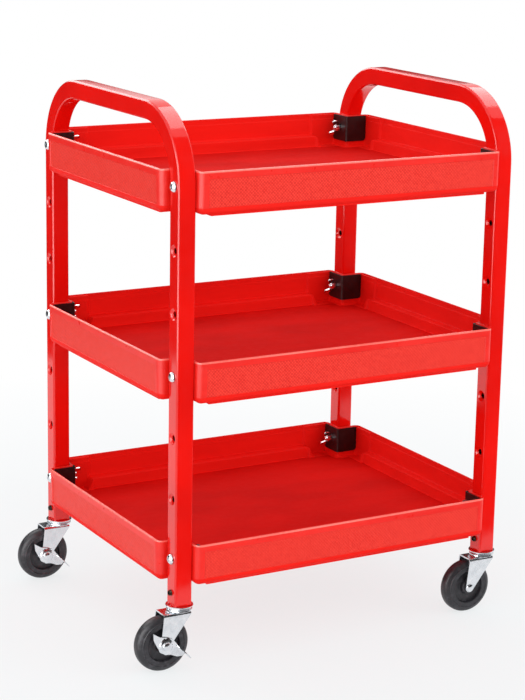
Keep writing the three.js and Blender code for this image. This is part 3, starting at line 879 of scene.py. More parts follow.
@dataclass
class EndFrame:
    """One square steel tube bent into two legs and the handle between them."""

    side: Side
    tube: float = 25.4
    wall: float = 1.6
    corner: float = 3.2
    bore_corner: float = 2.0
    bend_radius: float = 88.0
    bend_steps: int = 22
    foot_length: float = 30.0
    hole_pitch: float = 82.5
    hole_count: int = 7
    bolted: tuple[int, ...] = (0, 3, 6)
    hole: float = 8.4
    dimple: float = 8.3
    dimple_depth: float = 2.1
    dimple_steps: int = 6
    behind_dimple: float = 4.0

    @property
    def name(self) -> str:
        """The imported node's name."""
        return f"{self.side.name.lower()}_frame"

    def section(self, inset: float, corner: float) -> Outline:
        """The tube's cross-section.

        Args:
            inset: how far it is set in from the tube's outside.
            corner: the radius of its corners.

        Returns:
            The section's outline about the centre line.
        """
        half = self.tube / 2 - inset
        square = [(-half, -half), (half, -half), (half, half), (-half, half)]
        return fillet([(x, y, corner) for x, y in square], closed=True, steps=4)

    def stations(self) -> list[Point3]:
        """Walks the tube's centre line.

        Returns:
            Points as (y, z, angle), the angle being that of the frame's outside from +Y.
        """
        low, high = span(self.name)
        leg = (high.y - low.y) / 2 - self.tube / 2
        centre = (high.y + low.y) / 2
        crown = high.z - self.tube / 2
        bend = self.bend_radius
        foot = low.z + self.foot_length
        straight = [low.z, foot, *(foot + (crown - bend - foot) * k / 4 for k in range(1, 4))]
        half = [(-leg, z, math.pi) for z in straight]
        for k in range(self.bend_steps + 1):
            angle = math.pi - QUARTER_TURN * k / self.bend_steps
            y = -leg + bend + bend * math.cos(angle)
            half.append((y, crown - bend + bend * math.sin(angle), angle))
        other = [(-y, z, math.pi - angle) for y, z, angle in reversed(half)]
        return [(centre + y, z, angle) for y, z, angle in half + other]

    def rings(self, bore: bool) -> list[list[Vector]]:
        """The cross-section carried along the tube, as closed rings.

        Args:
            bore: whether it is the inside of the tube, which is drawn further in behind the
                pressed holes so that it clears them.

        Returns:
            The rings, from one leg over the handle to the other.
        """
        x0 = middle(self.name).x
        first = middle(f"bottom_bolt_front_{self.side.name.lower()}").z
        rings = []
        for y, z, angle in self.stations():
            section = self.section(0.0, self.corner)
            if bore:
                inset = self.wall if z < first - self.hole_pitch / 4 else self.behind_dimple
                section = self.section(inset, self.bore_corner)
            c, s = math.cos(angle), math.sin(angle)
            rings.append([Vector((x0 - x, y + out * c, z + out * s)) for x, out in section])
        return rings

    def shell(self) -> Thing:
        """The bent tube with its bore and its two sawn ends.

        Returns:
            The tube, not yet drilled.
        """
        skin = Skin()
        outside, inside = self.rings(bore=False), self.rings(bore=True)[::-1]
        finishes = [0] * len(outside) + [1] * (len(inside) - 1) + [0]
        skin.loft(outside + inside, capped=False, looped=True, finishes=finishes)
        return skin.piece(self.name, [RED_POWDER, BORE])

    def hole_cutter(self, skin: Skin, place: Matrix, dimpled: bool) -> None:
        """Adds a cutter for a hole through the tube.

        Args:
            skin: where the cutter is added.
            place: the hole's middle, with its axis along the cutter's Z.
            dimpled: whether the wall is pressed in round both ends of the hole.
        """
        face, hole, steps = self.tube / 2, self.hole / 2, self.dimple_steps
        past = face + 1
        end: Outline = [(hole, past)]
        if dimpled:
            rim, depth = self.dimple, self.dimple_depth
            lip, reach = hole + 0.5, rim - hole - 0.5
            end = [(hole, face - depth - 0.3), (lip, face - depth)]
            for k in range(1, steps):
                sunk = depth * math.cos(QUARTER_TURN * k / steps) ** 1.4
                end.append((lip + reach * k / steps, face - sunk))
            end += [(rim, face + 0.05), (rim, past)]
        profile = [(0, -past), *((r, -z) for r, z in reversed(end)), *end, (0, past)]
        skin.lathe(profile, 32, place)

    def piece(self) -> Thing:
        """The whole frame: the tube with its row of holes and the holes for its set screws.

        Returns:
            The frame in its place.
        """
        cutter = Skin()
        screw_hole = bore_profile(self.hole / 2, self.tube)
        for face in Face:
            corner = Corner(self.side, face)
            foot = corner.axis
            first = middle(f"bottom_bolt_{corner.name}").z
            for k in range(self.hole_count):
                place = Matrix.Translation((foot.x, foot.y, first + k * self.hole_pitch))
                self.hole_cutter(cutter, place @ ALONG_X, k not in self.bolted)
            screw = middle(f"set_screw_{corner.name}")
            place = Matrix.Translation((foot.x - self.tube, foot.y, screw.z))
            cutter.lathe(screw_hole, 24, place @ ALONG_X)
        return carve(self.shell(), cutter.piece(f"{self.name}_holes", [RED_POWDER]))

    def build(self) -> None:
        """Makes the frame and lets it stand for its node."""
        master = self.piece()
        put(master, f"{self.name}_tube", self.name, "cart", "powder_coat")
        clear(master)


# ---- Trays ---------------------------------------------------------------------------------


@dataclass(frozen=True)
class Ring:
    """One loop round a tray.

    The inset says how far in from the outside it lies at a place along a wall, and the height
    how high above the rim. The notch is how far in from the notches' faces it lies. The walls
    turn in to the legs at the end radius, and each notch has the inner radius in its corner.
    """

    inset: Callable[[Wall, float], float]
    height: Callable[[Wall, float], float]
    notch: float
    end_radius: float
    inner_radius: float


@dataclass
class Tray:
    """A moulded tray with a notch round each leg, ledges inside and ribs underneath.

    A long wall runs along X and a short one along Y. Pairs go by axis, or else by wall. Each
    wall stops at the notches and is thick for the length of a pad beside them.
    """

    level: Level
    leg: Point2 = (244.0, 197.0)
    overhang: float = 11.0
    tube: float = 25.4
    notch: Point2 = (13.0, 16.65)
    notch_radius: float = 2.6
    depth: float = 56.0
    wall: float = 3.2
    pad: float = 3.0
    pad_length: float = 44.0
    pad_ramp: float = 3.0
    end_radius: float = 10.0
    inner_end_radius: float = 1.5
    lower_radius: float = 8.0
    lower_steps: int = 7
    rim_radius: float = 2.2
    rim_steps: int = 3
    draft: float = 1.2
    band: float = 10.0
    lower_band: float = 9.0
    border: float = 13.0
    step: float = 0.8
    step_edge: float = 0.8
    ledge_depth: float = 33.0
    ledge: Point2 = (18.0, 14.0)
    ledge_slope: float = 9.0
    floor_depth: float = 48.5
    floor_thickness: float = 3.0
    lip_drop: float = 3.0
    lip_inset: float = 9.6
    lip_width: float = 2.4
    lip_end: float = 20.0
    ribs: tuple[int, int] = (4, 2)

    @property
    def name(self) -> str:
        """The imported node's name."""
        return f"{self.level.value}_tray"

    @property
    def half(self) -> Point2:
        """Half the tray's length and width at the rim."""
        reach = self.tube / 2 + self.overhang
        return self.leg[0] + reach, self.leg[1] + reach

    @property
    def notch_at(self) -> Point2:
        """The faces of the notches, from the tray's middle."""
        return self.leg[0] - self.notch[0], self.leg[1] - self.notch[1]

    @property
    def pad_at(self) -> Point2:
        """Where the thick ends of the long and short walls stop, from the tray's middle."""
        return self.notch_at[0] - self.pad_length, self.notch_at[1] - self.pad_length

    def stretch(self, wall: Wall) -> list[float]:
        """Places along a wall where the skin has points, closer together where it bends.

        Args:
            wall: a long or a short one.

        Returns:
            The places in order, from the wall's middle.
        """
        pad = self.pad_at[wall]
        border = self.notch_at[wall] - self.border
        slope = pad + self.ledge_slope
        half = [0.0, pad * 0.33, pad * 0.66, pad + 20]  # the straight of the wall
        half += [pad + move for move in (-6, -3, -1.5, 0, 1.5, 3)]  # the ramp of its thick end
        half += [slope + move for move in (-1.5, 0, 1.5)]  # the foot of the ledge's slope
        half += [border + move for move in (-0.8, -0.4, 0, 0.4, 1.2)]  # the panel's end
        return sorted({round(sign * s, 3) for s in half for sign in (-1, 1)})

    def thickness(self, wall: Wall, s: float) -> float:
        """The thickness of a wall at a place along it, which ramps up to its thick ends."""
        thin = eased((self.pad_at[wall] + self.pad_ramp / 2 - abs(s)) / self.pad_ramp)
        return self.wall + self.pad * (1 - thin)

    def stands(self, wall: Wall, s: float) -> float:
        """How high the ledge stands at a place along a wall.

        Args:
            wall: the wall, or a corner, where there is no ledge.
            s: the place, from the wall's middle.

        Returns:
            From 0 at the floor to 1 at the ledge's full height.
        """
        if wall is Wall.CORNER:
            return 0.0
        return eased((self.pad_at[wall] + self.ledge_slope - abs(s)) / self.ledge_slope)

    def loop(self, ring: Ring) -> list[Vector]:
        """The points of one loop round the tray.

        Args:
            ring: what the loop follows.

        Returns:
            The points, anticlockwise from the front wall's left end.
        """
        points: list[Vector] = []
        half = self.half
        notch = [at - ring.notch for at in self.notch_at]
        beyond = max(half)  # past the end of any wall
        clear_of_turn = 0.3
        for wall, sign in ((Wall.LONG, -1), (Wall.SHORT, 1), (Wall.LONG, 1), (Wall.SHORT, -1)):
            is_long = wall is Wall.LONG
            along = -sign if is_long else sign
            limit = notch[wall] - ring.end_radius - clear_of_turn
            for s in self.stretch(wall):
                s = max(-limit, min(limit, s * along))
                out = sign * (half[1 - wall] - ring.inset(wall, s))
                flat = (s, out) if is_long else (out, s)
                points.append(Vector((*flat, ring.height(wall, s))))
            sx, sy = (along, sign) if is_long else (sign, along)
            face_x, face_y = sx * notch[0], sy * notch[1]
            end_x = sx * (half[0] - ring.inset(Wall.SHORT, beyond))
            end_y = sy * (half[1] - ring.inset(Wall.LONG, beyond))
            turns = [
                (face_x, end_y, ring.end_radius),
                (face_x, face_y, ring.inner_radius),
                (end_x, face_y, ring.end_radius),
            ]
            path = [*turns, (end_x, 0.0)] if is_long else [*turns[::-1], (0.0, end_y)]
            height = ring.height(Wall.CORNER, 0.0)
            rounded = fillet([points[-1].xy, *path], steps=6)[1:-1]
            points.extend(Vector((*flat, height)) for flat in rounded)
        return points

    def outer(self, height: float, inset: float) -> float:
        """The outer wall's inset at a height above the rim, with its draft."""
        return inset + self.draft * -height / self.depth

    def plain(self, inset: float, height: float, notch: float) -> Ring:
        """A level loop with the same inset all round.

        Args:
            inset: from the tray's outside.
            height: above the rim.
            notch: how far in from the notches' faces it lies.

        Returns:
            The loop.
        """
        end_radius = max(1.0, self.end_radius - inset)
        radii = (end_radius, self.notch_radius + notch)
        return Ring(lambda wall, s: inset, lambda wall, s: height, notch, *radii)

    def panelled(self, height: float, sunk: float) -> Ring:
        """A level loop of the outer wall, with its textured panels sunk in.

        Args:
            height: above the rim.
            sunk: how much of the panel's step is taken, from 0 to 1.

        Returns:
            The loop.
        """

        def inset(wall: Wall, s: float) -> float:
            """The draft, and the step within the panel's ends."""
            end = self.notch_at[wall] - self.border + self.step_edge / 2
            return self.outer(height, self.step * sunk * held((end - abs(s)) / self.step_edge))

        end_radius = self.end_radius - self.outer(height, 0.0)
        return Ring(inset, lambda wall, s: height, 0.0, end_radius, self.notch_radius)

    def rim(self, inset: float, height: float, pad: float = 0.0) -> Ring:
        """A level loop inside the rim, over the thick ends, whose tops lie a step below it.

        Args:
            inset: from the outside of the wall.
            height: above the rim.
            pad: how much of the thick ends is added.

        Returns:
            The loop.
        """

        def padded(wall: Wall, s: float) -> float:
            """The inset with its share of the thick ends."""
            return inset + pad * (self.thickness(wall, s) - self.wall)

        radii = (self.inner_end_radius, self.notch_radius + inset)
        return Ring(padded, lambda wall, s: height, inset, *radii)

    def inside(
        self,
        move: float,
        height: float | None = None,
        lift: float = 0.0,
        across: float = 0.0,
        share: float = 1.0,
    ) -> Ring:
        """A loop of the inside.

        Args:
            move: how far in from the face of the wall.
            height: its height, or None where it follows the ledge or the floor.
            lift: how far above the ledge or the floor it runs.
            across: how far across the ledge it lies, from 0 to 1.
            share: how much of the ledge's height it keeps.

        Returns:
            The loop.
        """
        rise = self.floor_depth - self.ledge_depth

        def inset(wall: Wall, s: float) -> float:
            """The thickness of the wall, and the way across the ledge."""
            return self.thickness(wall, s) + move + (self.ledge[wall] - move) * across

        def level(wall: Wall, s: float) -> float:
            """The height at a place, on the wall, the ledge or the floor.

            Args:
                wall: the wall, or a corner.
                s: the place, from the wall's middle.

            Returns:
                The height above the rim.
            """
            if height is not None:
                return height
            stands = self.stands(wall, s)
            above = lift if lift > 0 else lift * stands
            return -self.floor_depth + rise * stands * share + above

        notch = self.wall + max(0.0, move - 0.6) + across * 3.0
        return Ring(inset, level, notch, self.inner_end_radius, self.notch_radius + notch)

    def under_rings(self) -> list[Ring]:
        """The loops of the underside, from the hollow's roof out over the lip.

        Returns:
            The loops in order.
        """
        low = -self.depth - self.lip_drop
        roof = -self.floor_depth - self.floor_thickness
        outer, start = self.lip_inset, self.lip_end
        inner, stop = outer + self.lip_width, start + self.lip_width
        levels = [
            (inner + 1.0, roof, stop + 1.0),
            (inner + 0.3, roof - 0.3, stop + 0.3),
            (inner, roof - 1.0, stop),
            (inner, low + 0.4, stop),
            (inner - 0.4, low, stop - 0.4),
            (outer + 0.4, low, start + 0.4),
            (outer, low + 0.4, start),
            (outer, -self.depth + 0.3, start),
            (outer - 0.3, -self.depth, start - 0.3),
            (self.lower_radius + self.draft, -self.depth, self.lower_radius + 0.5),
        ]
        return [self.plain(*level) for level in levels]

    def outer_rings(self) -> list[Ring]:
        """The loops from the lip under the wall up its outside to the rim.

        Returns:
            The loops in order.
        """
        rings = []
        turn = self.lower_radius
        for k in range(1, self.lower_steps + 1):
            angle = QUARTER_TURN * (1 - k / self.lower_steps)
            inset = turn * (1 - math.cos(angle))
            height = -self.depth + turn * (1 - math.sin(angle))
            rings.append(self.plain(self.outer(height, inset), height, inset))
        low, high = -self.depth + self.lower_band, -self.band
        edge = ((-0.4, 0.0), (-0.1, 0.1), (0.3, 0.9), (0.7, 1.0))
        rings += [self.panelled(low + move, sunk) for move, sunk in edge]
        rings += [self.panelled(high - move, sunk) for move, sunk in reversed(edge)]
        rings.append(self.plain(self.outer(-3, 0), -3, 0.0))
        turn = self.rim_radius
        for k in range(self.rim_steps + 1):
            angle = QUARTER_TURN * k / self.rim_steps
            height = -turn * (1 - math.sin(angle))
            rings.append(self.plain(turn * (1 - math.cos(angle)), height, 0.0))
        return rings

    def inner_rings(self) -> list[Ring]:
        """The loops from the rim down the inside of the wall, over the ledges, to the floor.

        Returns:
            The loops in order.
        """
        level_tops = ((-0.5, 0.0), (-0.15, -0.15), (0.0, -0.5), (0.0, -1.9))
        rings = [self.rim(self.wall + move, height) for move, height in level_tops]
        thick_tops = ((-2.05, 0.84), (-2.3, 0.97), (-3.0, 1.0))
        rings += [self.rim(self.wall, height, pad) for height, pad in thick_tops]
        upper_wall = ((0.0, -8.0), (0.1, -8.4), (0.5, -8.8), (0.6, -9.3), (0.6, -20.0))
        rings += [self.inside(move, height) for move, height in upper_wall]
        ledge_root = ((0.6, 2.2), (0.7, 1.3), (1.1, 0.6), (1.8, 0.15), (2.6, 0.0))
        rings += [self.inside(move, lift=lift) for move, lift in ledge_root]
        inmost = ledge_root[-1][0]
        ledge_top = ((0.35, 0.0), (0.92, 0.0), (0.97, -0.15), (1.0, -1.0))
        rings += [self.inside(inmost, lift=lift, across=across) for across, lift in ledge_top]
        ledge_face = ((1.0, 0.5), (1.02, 0.12), (1.06, 0.03), (1.13, 0.0))
        rings += [self.inside(inmost, across=across, share=share) for across, share in ledge_face]
        return rings

    def add_ribs(self, skin: Skin) -> None:
        """Adds the ribs that cross the hollow underside.

        Args:
            skin: where the ribs are added.
        """
        low = -self.depth - self.lip_drop + 0.3
        roof = -self.floor_depth - self.floor_thickness + 0.5
        for wall in (Wall.LONG, Wall.SHORT):
            count = self.ribs[1 - wall]
            end = self.half[wall] - (self.lip_inset + 1.0)
            for k in range(1, count + 1):
                at = -self.half[1 - wall] + 2 * self.half[1 - wall] * k / (count + 1)
                ends = ((-end, at), (end, at)) if wall is Wall.LONG else ((at, -end), (at, end))
                self.add_rib(skin, *ends, low, roof)

    def add_rib(self, skin: Skin, start: Point2, end: Point2, low: float, high: float) -> None:
        """Adds one rib, thinner at its free edge as moulding needs.

        Args:
            skin: where the rib is added.
            start: one end of its centre line.
            end: the other end.
            low: the height of its free edge.
            high: the height of its root.
        """
        along = (Vector(end) - Vector(start)).normalized()
        across = Vector((-along.y, along.x))
        corners = ((start, 1), (end, 1), (end, -1), (start, -1))
        rings = []
        for half, height in ((1.3, high), (1.2, high - 1.0), (0.95, low + 0.5), (0.6, low)):
            flat = [Vector(point) + across * (sign * half) for point, sign in corners]
            rings.append([(*point, height) for point in flat])
        skin.loft(rings)

    def piece(self) -> Thing:
        """The whole tray about its own middle, with heights from its rim.

        Returns:
            The tray in all its finishes.
        """
        skin = Skin()
        under, outer = self.under_rings(), self.outer_rings()
        loops = [self.loop(ring) for ring in under + outer + self.inner_rings()]
        skin.loft(loops)
        count = len(loops[0])
        first, rim = len(under), len(under) + len(outer)
        # The bands of the rim's outer rounding, which take the pale red of the painted highlight.
        edge = range(rim - self.rim_steps - 1, rim - 1)
        slack = 0.2  # the panel's texture runs this far past its edge
        for band in range(first, rim + 3):
            plain = TraySlot.PLAIN if band < first + self.lower_steps + 1 else TraySlot.BORDER
            for j in range(count):
                one, other = loops[band][j], loops[band][(j + 1) % count]
                low = one.z + self.depth - self.lower_band
                high = -self.band - loops[band + 1][j].z
                slot = TraySlot.EDGE if band in edge else plain
                if min(low, high) > -slack and self.in_panel((one + other) / 2):
                    slot = TraySlot.WOVEN
                skin.finishes[band * count + j] = slot
        # The floor's face takes the deeper red of the painted shade.
        skin.finishes[-1] = TraySlot.FLOOR
        self.add_ribs(skin)
        return skin.piece(self.name, [TRAY_FINISHES[slot] for slot in TraySlot])

    def in_panel(self, place: Vector) -> bool:
        """Whether a place on the outer wall lies within its textured panel's ends.

        Args:
            place: from the tray's middle.

        Returns:
            True within the ends.
        """
        near = 6.0  # how far in a place may lie and still be on a wall's outside
        for wall in (Wall.LONG, Wall.SHORT):
            if abs(place[1 - wall]) > self.half[1 - wall] - near:
                return abs(place[wall]) < self.notch_at[wall] - self.border
        return False

    def build(self, master: Thing) -> None:
        """Puts a copy of the finished tray at its level.

        Args:
            master: the tray about its own middle.
        """
        low, high = span(self.name)
        centre = (low + high) / 2
        place = Matrix.Translation((centre.x, centre.y, high.z))
        put(master, f"{self.name}_moulding", self.name, "cart", "tray_plastic", place)


# ---- Corner fastenings ---------------------------------------------------------------------


@dataclass
class CornerBracket:
    """A pressed steel angle that backs the tray's corner, with its leaves along the notch."""

    back: Point2 = (16.5, 20.15)
    thickness: float = 1.8
    top: float = 19.0
    height: float = 38.0
    end: float = 16.2
    lower_corner: float = 5.0
    upper_corner: float = 1.5
    corner_steps: int = 6
    bend: float = 1.4
    hole: float = 8.4

    def piece(self) -> Thing:
        """The angle about the leg's axis, with the bolt's height as its zero.

        Returns:
            The bracket, with its hole.
        """
        fold = (*self.back, self.bend)
        path = fillet([(self.back[0], -self.end), fold, (-self.end, self.back[1])], steps=6)
        length = [0.0]
        for one, other in zip(path, path[1:]):
            length.append(length[-1] + math.dist(one, other))
        total, steps = length[-1], self.corner_steps
        turns = (1 - math.cos(QUARTER_TURN * k / steps) for k in range(steps + 1))
        on_flat = 14.0
        ends = [*(self.lower_corner * turn for turn in turns), on_flat]
        marks = {round(v, 4) for v in [*ends, *length[1:-1], *(total - v for v in ends)]}
        rings = []
        for mark in sorted(marks):
            point, normal = self.along(path, length, mark)
            out = point + normal * self.thickness
            low, high = self.edges(min(mark, total - mark))
            rings.append([(*point, low), (*out, low), (*out, high), (*point, high)])
        cutter = Skin().lathe(bore_profile(self.hole / 2, 40), 24, ALONG_X)
        angle = lofted("corner_angle", rings, ENAMEL)
        return soften(carve(angle, cutter.piece("angle_hole", [ENAMEL])), 0.35)

    def along(self, path: Outline, length: Sequence[float], mark: float) -> tuple[Vector, Vector]:
        """A point along the angle's back and the way its outside faces.

        Args:
            path: the back of the angle in plan.
            length: the distance along it to each of its points.
            mark: the distance wanted.

        Returns:
            The point and the direction, both in plan.
        """
        index = max(k for k in range(len(path) - 1) if length[k] <= mark + 1e-6)
        one, other = Vector(path[index]), Vector(path[index + 1])
        share = (mark - length[index]) / (length[index + 1] - length[index])
        way = (other - one).normalized()
        if 0 < index < len(path) - 2:
            way = (way + (one - Vector(path[index - 1])).normalized()).normalized()
        return one.lerp(other, share), Vector((way.y, -way.x))

    def edges(self, away: float) -> Point2:
        """Where a leaf's rounded edges are.

        Args:
            away: the distance from the leaf's free end.

        Returns:
            The leaf's lowest and highest point there.
        """

        def cut(corner: float) -> float:
            """How much a corner's rounding takes off."""
            return corner - math.sqrt(max(0.0, corner**2 - max(0.0, corner - away) ** 2))

        return self.top - self.height + cut(self.lower_corner), self.top - cut(self.upper_corner)


@dataclass
class Bolt:
    """A pan-head machine screw with a cross recess, in from the outside of the leg."""

    face: float = 13.0
    head: float = 14.5
    head_height: float = 4.4
    shank: float = 7.8
    shank_end: float = -26.0
    length: float = 41.6
    beyond: float = 13.0
    pitch: float = 1.5
    recess: float = 6.4
    slot: float = 1.9
    recess_depth: float = 2.7
    recess_taper: float = 0.55
    spin: float = 0.5

    def piece(self) -> Thing:
        """The bolt along +X, with its leg's axis at the origin.

        Returns:
            The bolt, with its recess and thread.
        """
        r, h = self.head / 2, self.head_height
        dome = ((0.35, 0.985), (0.62, 0.9), (0.82, 0.7), (0.95, 0.4), (1.0, 0.16))
        rim = [(r, 0.25), (r - 0.25, 0.0), (0.0, 0.0)]
        head = Skin().lathe([(0.0, h), *((r * a, h * b) for a, b in dome), *rim], 40)
        bolt = carve(head.piece("bolt", [ZINC, ZINC_PAINTED_RECESS_SHADE]), self.cross())
        full, end = self.shank / 2, self.shank_end
        core = full - THREAD_DEPTH * self.pitch
        tip = self.face - self.length - self.beyond
        shank = [(0, 0.5), (full, 0.5), (full, end), (core, end - 0.8)]
        rod = Skin().lathe([*shank, (core, tip + 0.9), (core - 0.8, tip), (0, tip)], 24)
        thread(rod, full, self.pitch, tip + 0.4, end + 0.4)
        bolt = joined(bolt, rod.piece("bolt_rod", [ZINC, ZINC_PAINTED_RECESS_SHADE]))
        bolt.data.transform(Matrix.Translation((-self.face * MM, 0, 0)) @ AGAINST_X)
        return bolt

    def cross(self) -> Thing:
        """The cutter for the cross recess, which narrows as it goes down.

        Returns:
            The cutter in the head's own axes.
        """
        wide, narrow = self.recess / 2, self.slot / 2
        outline = []
        for quarter in range(4):
            spin = Matrix.Rotation(QUARTER_TURN * quarter + self.spin, 2)
            arm = ((wide, -narrow), (wide, narrow), (narrow, narrow))
            outline += [spin @ Vector(point) for point in arm]
        top, bottom = self.head_height + 0.4, self.head_height - self.recess_depth
        taper = self.recess_taper
        skin = Skin()
        narrowed = [(x * taper, y * taper, bottom) for x, y in outline]
        skin.loft([[(x, y, top) for x, y in outline], narrowed])
        # The recess takes the darkened zinc of the painted shade.
        skin.finishes = [1] * len(skin.faces)
        return skin.piece("bolt_recess", [ZINC, ZINC_PAINTED_RECESS_SHADE])


@dataclass
class WingNut:
    """A cold-forged wing nut with a tapered hub and two rounded ears."""

    face: float = 18.6
    hub: float = 12.0
    height: float = 6.5
    span: float = 27.0
    ear_height: float = 8.0
    ear: float = 2.2
    bore: float = 8.0
    turn: float = -30.0  # degrees

    def piece(self) -> Thing:
        """The nut along +X, with its leg's axis at the origin.

        Returns:
            The nut, with both its ears.
        """
        hub, bore, top = self.hub / 2, self.bore / 2, self.height
        profile = [
            (bore, 0.6), (bore + 0.5, 0.0), (hub - 0.4, 0.0), (hub, 0.4), (hub * 0.94, top * 0.5),
            (hub * 0.84, top - 0.5), (hub * 0.78, top), (bore + 0.5, top), (bore, top - 0.6),
        ]
        ears = Skin()
        for sign in (-1, 1):
            self.add_ear(ears, sign)
        nut = Skin().lathe(profile, 32).piece("wing_nut", [ZINC])
        nut = joined(nut, soften(ears.piece("wing_nut_ears", [ZINC]), 0.55, 3))
        spin = Matrix.Rotation(math.radians(self.turn), 4, "X")
        nut.data.transform(spin @ Matrix.Translation((self.face * MM, 0, 0)) @ ALONG_X)
        return nut

    def add_ear(self, skin: Skin, sign: int) -> None:
        """Adds one ear, thick at its root and thinner at its tip.

        Args:
            skin: where the ear is added.
            sign: which side of the hub it stands on.
        """
        hub, out, top = self.hub / 2, self.span / 2, self.height
        rise = top + self.ear_height
        corners = [
            (hub * 0.75, 0.7), (hub + 1.2, 0.7, 3), (out - 0.2, top - 0.3, 3.2), (out, rise, 3.0),
            (hub + 2.6, rise, 3.0), (hub + 0.3, top - 0.2, 2), (hub * 0.7, top - 0.8),
        ]
        root = hub * 0.7
        rings = []
        for half in (-self.ear / 2, self.ear / 2):
            ring = []
            for r, z in fillet(corners, closed=True):
                ring.append((sign * r, half * (1.25 - 0.5 * (r - root) / (out - root)), z))
            rings.append(ring)
        skin.loft(rings)


# ---- Casters -------------------------------------------------------------------------------


@dataclass
class Caster:
    """A swivel stem caster: stem, ball race, pressed fork, wheel, and its set screw.

    Heights are above the floor. The wheel trails towards -X from the swivel axis.
    """

    leg_bottom: float = 89.0
    gap: float = 0.3
    tube_bore: float = 22.2
    stem_length: float = 40.0
    flange: float = 37.5
    flange_thickness: float = 1.9
    race: float = 35.0
    kingpin: float = 9.4
    wheel: float = 76.0
    wheel_width: float = 21.0
    trail: float = 27.0
    clearance: float = 3.0
    side_clearance: float = 0.9
    plate: float = 2.2
    fork_bend: float = 3.4
    fork_front: float = 11.0
    eye: float = 6.6
    eye_ends: Point2 = (184.0, 328.0)  # degrees: where the rear and front edges leave the eye
    axle: float = 7.8
    lever_thickness: float = 1.8
    boss_rise: float = 1.5

    @property
    def under(self) -> float:
        """The underside of the fork's crown."""
        return self.wheel + self.clearance

    @property
    def crown(self) -> float:
        """The top of the fork's crown."""
        return self.under + self.plate

    @property
    def race_height(self) -> float:
        """The height of each half of the ball race."""
        return (self.leg_bottom - self.gap - self.flange_thickness - self.crown) / 2

    @property
    def fork_inside(self) -> float:
        """From the wheel's middle plane to the inside of a fork leg."""
        return self.wheel_width / 2 + self.side_clearance

    @property
    def fork_outside(self) -> float:
        """From the wheel's middle plane to the outside of a fork leg."""
        return self.fork_inside + self.plate

    @property
    def on_axle(self) -> Matrix:
        """Lays a turned form's Z along the axle."""
        return Matrix.Translation((-self.trail, 0, self.wheel / 2)) @ ALONG_Y

    def stem(self) -> Thing:
        """The stem in the leg, the flange under it, the upper race and the riveted kingpin.

        Returns:
            The stem about its swivel axis.
        """
        top = self.leg_bottom - self.gap
        under = top - self.flange_thickness
        low = self.crown + self.race_height + self.gap
        flange, race, pin = self.flange / 2, self.race / 2, self.kingpin / 2
        bore = self.tube_bore / 2 - self.gap
        rivet, tip = self.under - self.gap, top + self.stem_length
        profile = [
            (0, rivet - 2.0), (pin + 0.4, rivet - 1.85), (pin + 1.2, rivet - 1.3),
            (pin + 1.6, rivet - 0.6), (pin + 1.6, rivet), (pin, rivet), (pin, low),
            (race - 0.7, low), (race, low + 0.5), (race - 0.4, low + 1.2),
            (race - 2.2, under - 0.5), (race - 2.4, under), (flange - 0.5, under),
            (flange, under + 0.45), (flange, top - 0.45), (flange - 0.45, top), (bore, top),
            (bore, tip - 1.5), (bore - 1.5, tip), (0, tip),
        ]
        return Skin().lathe(profile, 64).piece("caster_stem", [ZINC], TURNED_CREASE)

    def side_edges(self, height: float) -> Point2:
        """Where the rear and front edges of a fork leg are at a height.

        Args:
            height: above the floor.

        Returns:
            The two places along X from the swivel axis.
        """
        eye = Vector((-self.trail, self.wheel / 2))
        angles = [math.radians(end) for end in self.eye_ends]
        ways = [Vector((math.cos(angle), math.sin(angle))) for angle in angles]
        rear_foot, front_foot = (eye + self.eye * way for way in ways)
        rear_top, front_top = -self.trail - 1.5, self.fork_front
        knee = self.under - self.plate

        def on_line(foot: Vector, top: float, head: float) -> float:
            """The place on a straight edge between its foot and its head."""
            share = min(1.0, (height - foot.y) / (head - foot.y))
            return foot.x + (top - foot.x) * share

        def on_eye(sign: int) -> float:
            """The place on the round of the eye."""
            return eye.x + sign * math.sqrt(max(0.0, self.eye**2 - (height - eye.y) ** 2))

        above_rear, above_front = height >= rear_foot.y, height >= front_foot.y
        rear = on_line(rear_foot, rear_top, self.crown) if above_rear else on_eye(-1)
        front = on_line(front_foot, front_top, knee) if above_front else on_eye(1)
        return rear, front

    def fork_sheet(self) -> Thing:
        """The fork folded from one strip: two legs that taper to their eyes, and the crown.

        Returns:
            The fork about its swivel axis, without its axle.
        """
        radius = self.fork_bend - self.plate / 2
        mid = self.fork_inside + self.plate / 2
        crown = self.under + self.plate / 2
        foot = self.wheel / 2 - self.eye
        drops = [foot + self.eye * (1 - math.cos(math.pi * k / 20)) for k in range(1, 18)]
        straight = [52.0, 62.0, 70.0, self.under - self.plate, crown - radius]
        heights = sorted([foot + 0.03, *drops, *straight])
        path: list[Point2] = [(-mid, z) for z in heights if z <= crown - radius + 0.01]
        for k in range(1, 7):
            angle = math.pi - QUARTER_TURN * k / 6
            y = -mid + radius + radius * math.cos(angle)
            path.append((y, crown - radius + radius * math.sin(angle)))
        path += [(-y, z) for y, z in reversed(path)]
        rings = []
        for index, (y, z) in enumerate(path):
            one, other = path[max(0, index - 1)], path[min(len(path) - 1, index + 1)]
            way = Vector((other[0] - one[0], other[1] - one[1])).normalized()
            out = Vector((-way.y, way.x)) * (self.plate / 2)
            rear, front = self.side_edges(z)
            inner, outer = (y - out.x, z - out.y), (y + out.x, z + out.y)
            rings.append([(rear, *inner), (front, *inner), (front, *outer), (rear, *outer)])
        return soften(lofted("fork_sheet", rings, ZINC), 0.3)

